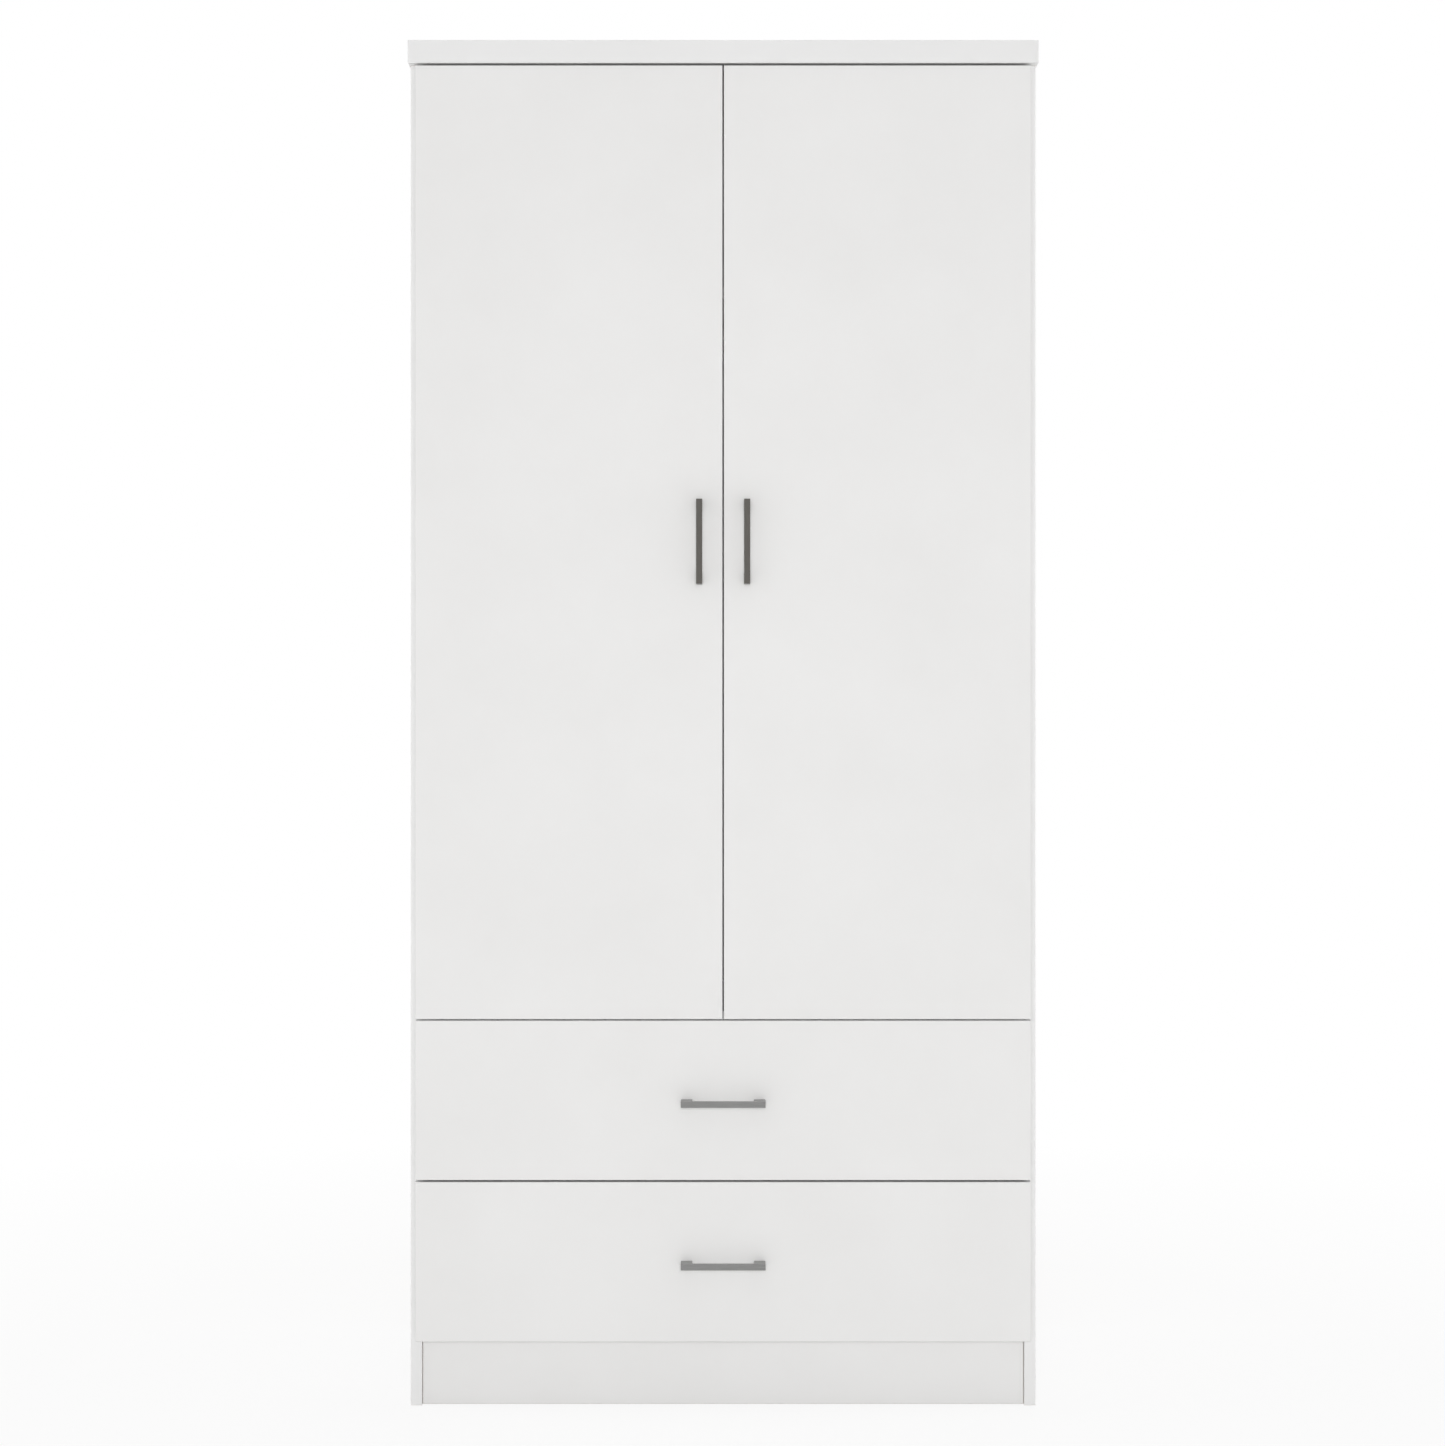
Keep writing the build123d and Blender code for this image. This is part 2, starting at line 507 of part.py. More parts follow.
def hinge_arm(z):
    """Goose-neck arm: a channel over the mounting plate, a web into the cup and a knuckle on the pin."""
    tip = PIN_FORWARD + ARM_SHEET / 2
    wide = ARM_WIDTH / 2
    slim = KNUCKLE_WIDTH / 2
    outline = [(-ARM_LENGTH, -wide), (-ARM_SHOULDER, -wide), (0, -slim), (tip, -slim)]
    outline += [(tip, slim), (0, slim), (-ARM_SHOULDER, wide), (-ARM_LENGTH, wide)]
    sheet = Plane(origin=left_point(ARM_HEIGHT, 0, z), x_dir=-Y, z_dir=X)
    face = make_face(Polyline(*outline, close=True))
    web = extrude(sheet.location * face, amount=ARM_SHEET, dir=X)
    leg = by_left(PIN_IN, ARM_HEIGHT + ARM_SHEET, PIN_FORWARD - ARM_SHEET / 2, tip, z - slim, z + slim)
    knuckle = rod(left_point(PIN_IN, PIN_FORWARD, z - slim), Z, KNUCKLE_RADIUS, KNUCKLE_WIDTH)
    arm = web + leg + knuckle
    for z0, z1 in ((z - wide, z - wide + ARM_SHEET), (z + wide - ARM_SHEET, z + wide)):
        arm = arm + by_left(PLATE_SHEET + 1, ARM_HEIGHT, -ARM_LENGTH, -ARM_SHOULDER - 2, z0, z1)
    bore = left_point(PIN_IN, PIN_FORWARD, z - KNUCKLE_WIDTH)
    return arm - rod(bore, Z, HINGE_PIN_RADIUS + RUNNING, 2 * KNUCKLE_WIDTH)


def hinge_plate(z):
    """Cross-shaped mounting plate with the rail that carries the arm."""
    near = -PLATE_SETBACK - PLATE_WIDTH / 2
    far = -PLATE_SETBACK + PLATE_WIDTH / 2
    wing = by_left(0, PLATE_SHEET, near, far, z - PLATE_HALF, z + PLATE_HALF)
    wing = fillet(wing.edges().filter_by(Axis.X), PLATE_WIDTH / 4)
    half = ARM_WIDTH / 2 - ARM_SHEET - FIT
    rail = by_left(0, ARM_HEIGHT, -PLATE_RAIL_REAR, -PLATE_RAIL_FRONT, z - half, z + half)
    plate = wing + rail
    for sign in (-1, 1):
        plate = plate - screw_hole(left_point(PLATE_SHEET, -PLATE_SETBACK, z + sign * PLATE_SCREWS / 2), -X)
    return plate


def hinges():
    """All hinges: cups and pins go with their door, arms and plates with the carcass."""
    span = DOOR_TOP - DOOR_BOTTOM - 2 * HINGE_INSET
    for i in range(HINGES_PER_DOOR):
        z = DOOR_BOTTOM + HINGE_INSET + span * i / (HINGES_PER_DOOR - 1)
        mouth = left_point(CUP_CENTRE, CLOSED_GAP, z)
        holes = [rod(mouth, -Y, CUP_RADIUS, CUP_DEPTH)]
        for sign in (-1, 1):
            peg = left_point(CUP_CENTRE + PEG_SETBACK, CLOSED_GAP, z + sign * PEG_OFFSET)
            holes.append(rod(peg, -Y, PEG_RADIUS + FIT, PEG_DEPTH + FIT))
            point = left_point(PLATE_SHEET, -PLATE_SETBACK, z + sign * PLATE_SCREWS / 2)
            screw("carcass_screws", point, -X, "left_side_panel")
            screw("carcass_screws", Vector(-point.X, point.Y, point.Z), X, "right_side_panel")
        pin_start = left_point(PIN_IN, PIN_FORWARD, z - HINGE_PIN_LENGTH / 2)
        pin = rod(pin_start, Z, HINGE_PIN_RADIUS, HINGE_PIN_LENGTH)
        cup = hinge_cup(z)
        arm = hinge_arm(z)
        plate = hinge_plate(z)
        cuts["left_door"] += holes
        cuts["right_door"] += [flip(hole) for hole in holes]
        solids["left_hinge_cups"].append(cup)
        solids["right_hinge_cups"].append(flip(cup))
        solids["left_hinge_pins"].append(pin)
        solids["right_hinge_pins"].append(flip(pin))
        solids["hinge_arms"] += [arm, flip(arm)]
        solids["hinge_plates"] += [plate, flip(plate)]


def handle(node, front, middle, along):
    """Bar handle on two feet, screwed on from behind the front."""
    half = HANDLE_CENTRES / 2 + HANDLE_FOOT / 2
    section = HANDLE_SECTION / 2
    window = half - HANDLE_FOOT
    shape = block(-half, half, -HANDLE_REACH, 0, -section, section)
    shape = shape - block(-window, window, HANDLE_BAR - HANDLE_REACH, 1, -section - 1, section + 1)
    inner = shape.edges().filter_by(Axis.Z).filter_by_position(Axis.X, -window - 0.1, window + 0.1)
    shape = fillet(inner.sort_by(Axis.Y)[:2], HANDLE_INNER_ROUND)
    rounded = [edge for edge in shape.edges() if edge.center().Y < -0.1]
    shape = fillet(rounded, HANDLE_EASE)
    whole = FRONT_BOARD + HANDLE_SCREW_DEPTH
    for sign in (-1, 1):
        foot = Vector(sign * HANDLE_CENTRES / 2, 1, 0)
        shape = shape - rod(foot, -Y, HANDLE_SCREW_RADIUS + FIT / 2, HANDLE_SCREW_DEPTH + FIT + 1)
        point = middle + along * (sign * HANDLE_CENTRES / 2)
        point = Vector(point.X, FRONT_REAR, point.Z)
        cuts[front].append(rod(point + Y, -Y, HANDLE_SCREW_RADIUS + FIT, FRONT_BOARD + 2))
        head = rod(point, Y, HANDLE_SCREW_HEAD_RADIUS, HANDLE_SCREW_HEAD)
        solids[node + "_screws"].append(head + rod(point, -Y, HANDLE_SCREW_RADIUS, whole))
    seat = Plane(origin=middle, x_dir=along, z_dir=along.cross(Y)).location
    solids[node].append(seat * shape)


def doors():
    """Left and right door board with their handles."""
    right = block(FRONT_GAP / 2, FRONT_OUT, FRONT_FACE, FRONT_REAR, DOOR_BOTTOM, DOOR_TOP)
    right = fillet(right.edges(), EDGE_EASE)
    boards["right_door"] = right
    boards["left_door"] = flip(right)
    reach = FRONT_GAP / 2 + HANDLE_INSET
    handle("right_door_handle", "right_door", Vector(reach, FRONT_FACE, DOOR_MIDDLE), Z)
    handle("left_door_handle", "left_door", Vector(-reach, FRONT_FACE, DOOR_MIDDLE), Z)


def from_right(s0, s1, y0, y1, z0, z1):
    """Box placed by its distance in from the right side panel."""
    return block(SIDE_IN - s1, SIDE_IN - s0, y0, y1, z0, z1)


def cabinet_runner(base):
    """Channel on the right side panel with the axle of the front roller."""
    top = base + RUNNER_HEIGHT
    web = from_right(0, RUNNER_SHEET, RUNNER_FRONT, RUNNER_REAR, base, top)
    floor = from_right(0, RUNNER_FLANGE, RUNNER_FRONT, RUNNER_REAR, base, base + RUNNER_SHEET)
    roof = from_right(0, RUNNER_FLANGE, RUNNER_FRONT + RUNNER_NOTCH, RUNNER_REAR, top - RUNNER_SHEET, top)
    seat = Vector(SIDE_IN - RUNNER_SHEET, FRONT_ROLLER_Y, base + FRONT_ROLLER_RISE)
    collar = rod(seat, -X, AXLE_COLLAR, ROLLER_OFFSET - RUNNER_SHEET - ROLLER_ROOM)
    axle = rod(seat, -X, AXLE_RADIUS, RUNNER_FLANGE - RUNNER_SHEET)
    head_start = Vector(SIDE_IN - ROLLER_OFFSET - ROLLER_WIDTH - ROLLER_ROOM, seat.Y, seat.Z)
    head = rod(head_start, -X, AXLE_COLLAR, RUNNER_FLANGE - ROLLER_OFFSET - ROLLER_WIDTH - ROLLER_ROOM)
    runner = web + floor + roof + collar + axle + head
    for step in RUNNER_SCREWS:
        point = Vector(SIDE_IN - RUNNER_SHEET, RUNNER_FRONT + step, base + RUNNER_HEIGHT / 2)
        runner = runner - screw_hole(point, X)
        screw("carcass_screws", point, X, "right_side_panel")
        screw("carcass_screws", Vector(-point.X, point.Y, point.Z), -X, "left_side_panel")
    return runner


def drawer_slide(base):
    """Drawer member under the right drawer side with the axle of the rear roller."""
    front = FRONT_REAR + 1
    inner = RUNNER_SPACE - RUNNER_SHEET
    seat = base + SLIDE_SEAT
    under = base + SLIDE_UNDER
    web = from_right(inner, RUNNER_SPACE, front, RUNNER_REAR, seat - RUNNER_SHEET, under + RUNNER_SHEET)
    lip = RUNNER_SPACE - SLIDE_REACH
    running = from_right(lip, RUNNER_SPACE, front, RUNNER_REAR, under, under + RUNNER_SHEET)
    shelf_end = RUNNER_SPACE + DRAWER_SIDE
    shelf = from_right(inner, shelf_end, front, RUNNER_REAR, seat - RUNNER_SHEET, seat)
    axle_seat = Vector(SIDE_IN - inner, REAR_ROLLER_Y, base + REAR_ROLLER_RISE)
    collar = rod(axle_seat, X, AXLE_COLLAR, inner - ROLLER_OFFSET - ROLLER_WIDTH - ROLLER_ROOM)
    axle = rod(axle_seat, X, AXLE_RADIUS, inner - ROLLER_OFFSET)
    return web + running + shelf + collar + axle


def rollers(node, y, z):
    """A left and a right roller on one line."""
    start = Vector(SIDE_IN - ROLLER_OFFSET, y, z)
    wheel = rod(start, -X, ROLLER_RADIUS, ROLLER_WIDTH)
    wheel = chamfer(wheel.edges(), ROLLER_EASE)
    wheel = wheel - rod(start + X, -X, AXLE_RADIUS + RUNNING, ROLLER_WIDTH + 2)
    solids[node] += [flip(wheel), wheel]


def drawer(name, bottom):
    """One drawer: front, box, handle, slides, fixings, and the runners and rollers it goes on."""
    base = bottom + RUNNER_RISE
    low = base + SLIDE_SEAT
    high = low + DRAWER_SIDE_HEIGHT
    groove = low + GROOVE_RISE
    front = block(-FRONT_OUT, FRONT_OUT, FRONT_FACE, FRONT_REAR, bottom, bottom + DRAWER_FRONT_HEIGHT)
    boards[name + "_front"] = fillet(front.edges(), EDGE_EASE)
    side = block(BOX_IN, BOX_OUT, FRONT_REAR, BOX_REAR, low, high)
    boards[name + "_right_side"] = side
    boards[name + "_left_side"] = flip(side)
    groove_top = groove + SHEET + FIT
    boards[name + "_back"] = block(-BOX_IN, BOX_IN, BOX_REAR - DRAWER_SIDE, BOX_REAR, groove_top, high)
    reach = BOX_IN + GROOVE_DEPTH
    plough = block(-reach, reach, FRONT_REAR - GROOVE_DEPTH, BOX_REAR + 1, groove, groove_top)
    for board in ("_front", "_right_side", "_left_side"):
        cuts[name + board].append(plough)
    floor_front = FRONT_REAR - GROOVE_DEPTH + FIT
    floor = block(FIT - reach, reach - FIT, floor_front, BOX_REAR, groove, groove_top - FIT)
    boards[name + "_bottom"] = floor
    fixings = name + "_fixings"
    for side_name, sign in (("_left_side", -1), ("_right_side", 1)):
        for rise in DRAWER_CAMS:
            point = Vector(sign * (BOX_OUT - DRAWER_SIDE / 2), FRONT_REAR, low + rise)
            cam_joint(name + side_name, name + "_front", point, -Y, sign * X, DRAWER_SIDE, fixings, fixings)
        for rise in DRAWER_BACK_SCREWS:
            point = Vector(sign * BOX_OUT, BOX_REAR - DRAWER_SIDE / 2, low + rise)
            sunk_screw(fixings, point, -sign * X, name + side_name, name + "_back")
        slide = drawer_slide(base)
        for step in SLIDE_SCREWS:
            x = BOX_OUT - DRAWER_SIDE / 2
            slide = slide - screw_hole(Vector(x, FRONT_REAR + step, low - RUNNER_SHEET), Z)
            point = Vector(sign * x, FRONT_REAR + step, low - RUNNER_SHEET)
            screw(fixings, point, Z, name + side_name)
        solids[name + "_slides"].append(slide if sign > 0 else flip(slide))
    for x in (-BOTTOM_SCREW_STEP, 0, BOTTOM_SCREW_STEP):
        point = Vector(x, BOX_REAR - DRAWER_SIDE / 2, groove)
        cuts[name + "_bottom"].append(screw_hole(point, Z))
        screw(fixings, point, Z, name + "_back")
    grip = bottom + DRAWER_FRONT_HEIGHT / 2 - HANDLE_DROP
    handle(name + "_handle", name + "_front", Vector(0, FRONT_FACE, grip), X)
    runner = cabinet_runner(base)
    level = name.split("_")[0]
    solids[level + "_cabinet_runners"] += [flip(runner), runner]
    rollers(level + "_front_rollers", FRONT_ROLLER_Y, base + FRONT_ROLLER_RISE)
    rollers(level + "_rear_rollers", REAR_ROLLER_Y, base + REAR_ROLLER_RISE)


carcass_boards()
carcass_joints()
back_sheets()
shelf_pins()
hanging_rail()
wall_brackets()
bumpers()
doors()
hinges()
drawer("upper_drawer", UPPER_FRONT)
drawer("lower_drawer", LOWEST_FRONT)

for name, board in boards.items():
    solids[name].append(board - cuts[name] if cuts[name] else board)

os.makedirs("parts", exist_ok=True)
for name, pieces in solids.items():
    whole = pieces[0] if len(pieces) == 1 else Compound(children=pieces)
    export_step(whole, "parts/" + name + ".step")
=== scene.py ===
"""Looks of a wardrobe with two doors over two drawers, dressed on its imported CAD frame.

Lengths are metres in the CAD frame: the fronts face -Y, +Z is up and the floor is at zero.
"""
import logging
from dataclasses import dataclass, field
from enum import Enum
from math import pi, radians
from typing import Iterable, Optional, Sequence, Union

import bmesh
import bpy
from mathutils import Matrix, Vector


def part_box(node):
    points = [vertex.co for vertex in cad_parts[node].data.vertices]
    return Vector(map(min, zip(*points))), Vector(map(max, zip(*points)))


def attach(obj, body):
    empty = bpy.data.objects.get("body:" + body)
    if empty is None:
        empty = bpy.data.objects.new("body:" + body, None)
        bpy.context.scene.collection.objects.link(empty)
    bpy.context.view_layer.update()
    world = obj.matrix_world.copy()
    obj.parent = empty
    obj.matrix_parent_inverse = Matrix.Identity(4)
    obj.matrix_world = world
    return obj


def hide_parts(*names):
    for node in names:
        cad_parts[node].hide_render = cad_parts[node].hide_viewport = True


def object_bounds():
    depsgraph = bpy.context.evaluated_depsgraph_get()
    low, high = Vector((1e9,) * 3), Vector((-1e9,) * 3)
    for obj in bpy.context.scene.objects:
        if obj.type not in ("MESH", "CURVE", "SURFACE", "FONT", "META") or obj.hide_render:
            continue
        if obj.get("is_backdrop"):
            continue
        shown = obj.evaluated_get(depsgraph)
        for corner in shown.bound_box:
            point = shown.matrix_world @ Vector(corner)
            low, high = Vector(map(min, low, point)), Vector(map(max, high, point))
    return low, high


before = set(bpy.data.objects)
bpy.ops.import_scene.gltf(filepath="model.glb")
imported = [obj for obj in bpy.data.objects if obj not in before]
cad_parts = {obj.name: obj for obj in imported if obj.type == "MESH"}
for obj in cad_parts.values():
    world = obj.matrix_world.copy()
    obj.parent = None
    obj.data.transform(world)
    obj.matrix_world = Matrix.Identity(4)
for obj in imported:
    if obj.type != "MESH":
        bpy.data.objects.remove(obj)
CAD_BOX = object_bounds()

Colour = tuple[float, float, float]
Triple = tuple[float, float, float]
Pair = tuple[float, float]
Outline = Sequence[Pair]
Socket = bpy.types.NodeSocket
Feed = Union[Socket, float, Sequence[float]]

# A noise by its cells per metre and its octaves
Grain = tuple[float, float]

LOG = logging.getLogger("wardrobe")

# Stretch that changes nothing, and the range of a mask
EVEN: Triple = (1.0, 1.0, 1.0)
UNIT: Pair = (0.0, 1.0)

# Distances under which two points are one, and a point lies on a line
MERGE = 1e-6
HAIR = 1e-5

# Angles between faces past which an edge is shaded sharp, and is worth rounding
SHARP = radians(32.0)
BENT = 0.5


class Axis(Enum):
    """A direction of the frame, by its place in a triple."""

    X = 0
    Y = 1
    Z = 2

    @property
    def way(self) -> Vector:
        """Unit vector along the axis."""
        return Vector([float(i == self.value) for i in range(3)])


class Face(Enum):
    """A side of a board: its axis, and whether it is the high end of it."""

    LEFT = (Axis.X, False)
    RIGHT = (Axis.X, True)
    FRONT = (Axis.Y, False)
    BACK = (Axis.Y, True)
    BOTTOM = (Axis.Z, False)
    TOP = (Axis.Z, True)

    def plane(self, low: Vector, high: Vector) -> tuple[Axis, float]:
        """Axis of the face, and where the face of a box lies on it.

        Args:
            low: Lowest corner of the box.
            high: Highest corner of the box.

        Returns:
            The axis and the place along it.
        """
        axis, far = self.value
        return axis, (high if far else low)[axis.value]


class Side(Enum):
    """Left or right half of the wardrobe, with the sign of its X."""

    LEFT = -1
    RIGHT = 1

    @property
    def label(self) -> str:
        """The word used in node names."""
        return self.name.lower()


class Level(Enum):
    """Upper or lower drawer, by the word used in node names."""

    UPPER = "upper"
    LOWER = "lower"


class Slot(Enum):
    """Material slots of the record, named for the new pieces."""

    ZINC = "zinc_steel"
    PAD = "soft_pad"
    PLASTIC = "white_plastic"


class Soften(Enum):
    """What a bevel rounds."""

    EDGES = "EDGES"
    CORNERS = "VERTICES"


class Shader:
    """Node tree of one material, patterned on Object coordinates."""

    def __init__(self, name: str) -> None:
        """Start a material with its Principled shader.

        Args:
            name: Name of the material.
        """
        self.material = bpy.data.materials.new(name)
        self.material.use_nodes = True
        self.tree = self.material.node_tree
        self.skin = self.tree.nodes["Principled BSDF"]
        self.place = self.add("ShaderNodeTexCoord").outputs["Object"]
        self.split = self.add("ShaderNodeSeparateXYZ", {"Vector": self.place})

    def add(self, kind: str, inputs: Optional[dict[Union[str, int], Feed]] = None) -> bpy.types.Node:
        """Add a node and feed its inputs.

        Args:
            kind: Blender's name of the node type.
            inputs: Socket name or number to a socket or a fixed value.

        Returns:
            The new node.
        """
        node = self.tree.nodes.new(kind)
        for key, value in (inputs or {}).items():
            self.feed(node.inputs[key], value)
        return node

    def feed(self, target: Socket, value: Feed) -> None:
        """Link a socket to an input, or set the input's own value."""
        if isinstance(value, bpy.types.NodeSocket):
            self.tree.links.new(value, target)
        else:
            target.default_value = value

    def set(self, **sockets: Feed) -> None:
        """Feed the Principled shader's sockets, with underscores for spaces in their names."""
        for name, value in sockets.items():
            self.feed(self.skin.inputs[name.replace("_", " ")], value)

    def along(self, axis: Axis) -> Socket:
        """Coordinate of the shaded point along one axis."""
        return self.split.outputs[axis.value]

    def math(self, operation: str, a: Feed, b: Feed = 0.0, c: Feed = 0.0) -> Socket:
        """Math node on up to three values.

        Args:
            operation: Blender's name of the operation.
            a: First value.
            b: Second value.
            c: Third value.

        Returns:
            The result's socket.
        """
        node = self.add("ShaderNodeMath")
        node.operation = operation
        for target, value in zip(node.inputs, (a, b, c)):
            self.feed(target, value)
        return node.outputs[0]

    def noise(self, grain: Grain, stretch: Triple = EVEN, warp: float = 0.0) -> Socket:
        """Noise from 0 to 1 on the piece's own coordinates.

        Args:
            grain: Cells per metre and octaves.
            stretch: Factors on the three axes.
            warp: Distortion of the pattern.

        Returns:
            The noise's socket.
        """
        place = self.place
        if stretch != EVEN:
            place = self.add("ShaderNodeMapping", {"Vector": place, "Scale": stretch}).outputs[0]
        scale, octaves = grain
        inputs = {"Vector": place, "Scale": scale, "Detail": octaves, "Distortion": warp}
        return self.add("ShaderNodeTexNoise", inputs).outputs[0]

    def marks(self, grain: Grain, stretch: Triple = EVEN, warp: float = 0.0) -> Socket:
        """Noise with more contrast: its middle values are stretched from 0 to 1.

        Args:
            grain: Cells per metre and octaves.
            stretch: Factors on the three axes.
            warp: Distortion of the pattern.

        Returns:
            The pattern's socket.
        """
        return self.span(self.noise(grain, stretch, warp), UNIT)

    def cells(self, scale: float, stretch: Triple) -> Socket:
        """Random grey of chip-like cells, from 0 to 1.

        Args:
            scale: Cells per metre.
            stretch: Factors on the three axes.

        Returns:
            The grey's socket.
        """
        place = self.add("ShaderNodeMapping", {"Vector": self.place, "Scale": stretch}).outputs[0]
        colour = self.add("ShaderNodeTexVoronoi", {"Vector": place, "Scale": scale}).outputs["Color"]
        return self.add("ShaderNodeSeparateColor", {"Color": colour}).outputs[0]

    def span(self, value: Socket, result: Pair, source: Pair = (0.3, 0.7)) -> Socket:
        """Stretch a pattern over a range.

        Args:
            value: The pattern.
            result: Values at the two ends of the range, and past them.
            source: Values of the pattern that give those two.

        Returns:
            The result's socket.
        """
        inputs = {0: value, 1: source[0], 2: source[1], 3: result[0], 4: result[1]}
        return self.add("ShaderNodeMapRange", inputs).outputs[0]

    def blend(self, factor: Socket, a: Feed, b: Feed) -> Socket:
        """Mix of two colours.

        Args:
            factor: 0 gives a, 1 gives b.
            a: First colour.
            b: Second colour.

        Returns:
            The colour's socket.
        """
        node = self.add("ShaderNodeMix")
        node.data_type = "RGBA"
        for key, value in ((0, factor), (6, a), (7, b)):
            flat = value if isinstance(value, bpy.types.NodeSocket) else (*value, 1.0)
            self.feed(node.inputs[key], flat)
        return node.outputs[2]

    def tint(self, colour: Socket, mask: Socket, share: float, tone: Colour) -> Socket:
        """Part of a tone laid over a colour where a mask is 1.

        Args:
            colour: What lies under it.
            mask: Where the tone goes.
            share: How much of the tone goes there.
            tone: The tone.

        Returns:
            The colour's socket.
        """
        return self.blend(self.math("MULTIPLY", mask, share), colour, tone)

    def bump(self, height: Socket, rise: float, under: Optional[Socket] = None) -> Socket:
        """Relief of a given height.

        Args:
            height: Pattern from 0 to 1.
            rise: Height of the relief in metres.
            under: Relief that this one lies on.

        Returns:
            The normal's socket.
        """
        inputs = {"Height": height, "Distance": rise, "Strength": 1.0}
        node = self.add("ShaderNodeBump", inputs)
        if under is not None:
            self.feed(node.inputs["Normal"], under)
        return node.outputs[0]


@dataclass(frozen=True)
class Chipboard:
    """Bare core of a board: pressed chips with dark flecks."""

    pale: Colour = (0.60, 0.46, 0.305)
    dark: Colour = (0.33, 0.225, 0.13)
    fleck: Colour = (0.24, 0.155, 0.085)
    fleck_share: float = 0.35
    flecks: Grain = (1500.0, 3.0)
    chip_scale: float = 430.0
    chip_stretch: Triple = (1.0, 1.0, 0.8)
    chip_rise: float = 0.0002
    added_rough: float = 0.5
    skin: float = 0.00015

    def chips(self, shader: Shader) -> Socket:
        """Random grey of the chips."""
        return shader.cells(self.chip_scale, self.chip_stretch)

    def colour(self, shader: Shader, chips: Socket) -> Socket:
        """Colour of the core.

        Args:
            shader: The material in the making.
            chips: Random grey of the chips.

        Returns:
            The colour's socket.
        """
        wood = shader.blend(chips, self.dark, self.pale)
        return shader.tint(wood, shader.marks(self.flecks), self.fleck_share, self.fleck)


@dataclass(frozen=True)
class Board:
    """White satin laminate on chipboard: fine pearl, thin edge bands, raw edges out of sight."""

    node: str
    raw: tuple[Face, ...] = ()
    gloss: float = 0.36
    polish: float = 0.03
    wear: float = 0.05
    bright: Colour = (0.812, 0.808, 0.801)
    dull: Colour = (0.792, 0.787, 0.779)
    cloud: Grain = (7.0, 4.0)
    band: float = 0.0008
    band_tone: Colour = (0.806, 0.807, 0.806)
    band_share: float = 0.5
    glue: float = 0.00010
    glue_tone: Colour = (0.36, 0.33, 0.29)
    glue_share: float = 0.3
    smear: Grain = (11.0, 5.0)
    smear_warp: float = 0.4
    pearl: Grain = (900.0, 2.0)
    pearl_rise: float = 0.00002
    ripple: Grain = (95.0, 1.0)
    ripple_rise: float = 0.00003
    core: Chipboard = Chipboard()

    def make(self) -> bpy.types.Material:
        """Build the material for this board's own box.

        Returns:
            The material.
        """
        low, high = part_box(self.node)
        shader = Shader("laminate_" + self.node)
        edge = self.edge_distance(shader, low, high)
        banded = shader.math("LESS_THAN", edge, self.band)
        seam = shader.math("COMPARE", edge, self.band, self.glue)
        colour = shader.blend(shader.marks(self.cloud), self.dull, self.bright)
        colour = shader.tint(colour, banded, self.band_share, self.band_tone)
        colour = shader.tint(colour, seam, self.glue_share, self.glue_tone)
        smear = shader.noise(self.smear, warp=self.smear_warp)
        rough = shader.span(smear, (self.gloss - self.polish, self.gloss + self.wear))
        relief = shader.bump(shader.noise(self.pearl), self.pearl_rise)
        relief = shader.bump(shader.noise(self.ripple), self.ripple_rise, relief)
        if self.raw:
            bare = self.bare_mask(shader, low, high)
            chips = self.core.chips(shader)
            colour = shader.blend(bare, colour, self.core.colour(shader, chips))
            rough = shader.math("MULTIPLY_ADD", bare, self.core.added_rough, rough)
            relief = shader.bump(shader.math("MULTIPLY", bare, chips), self.core.chip_rise, relief)
        shader.set(Base_Color=colour, Roughness=rough, Normal=relief)
        return shader.material

    @staticmethod
    def edge_distance(shader: Shader, low: Vector, high: Vector) -> Socket:
        """Distance from the nearest edge of the board's broad face.

        Args:
            shader: The material in the making.
            low: Lowest corner of the board.
            high: Highest corner of the board.

        Returns:
            The distance's socket, in metres.
        """
        size = high - low
        wide = sorted(Axis, key=lambda axis: size[axis.value])[1:]
        reach = []
        for axis in wide:
            middle = (low[axis.value] + high[axis.value]) / 2
            away = shader.math("ABSOLUTE", shader.math("SUBTRACT", shader.along(axis), middle))
            reach.append(shader.math("SUBTRACT", size[axis.value] / 2, away))
        return shader.math("MINIMUM", *reach)

    def bare_mask(self, shader: Shader, low: Vector, high: Vector) -> Socket:
        """1 on the edges that have no band.

        Args:
            shader: The material in the making.
            low: Lowest corner of the board.
            high: Highest corner of the board.

        Returns:
            The mask's socket.
        """
        mask: Optional[Socket] = None
        for face in self.raw:
            axis, end = face.plane(low, high)
            hit = shader.math("COMPARE", shader.along(axis), end, self.core.skin)
            mask = hit if mask is None else shader.math("MAXIMUM", mask, hit)
        return mask


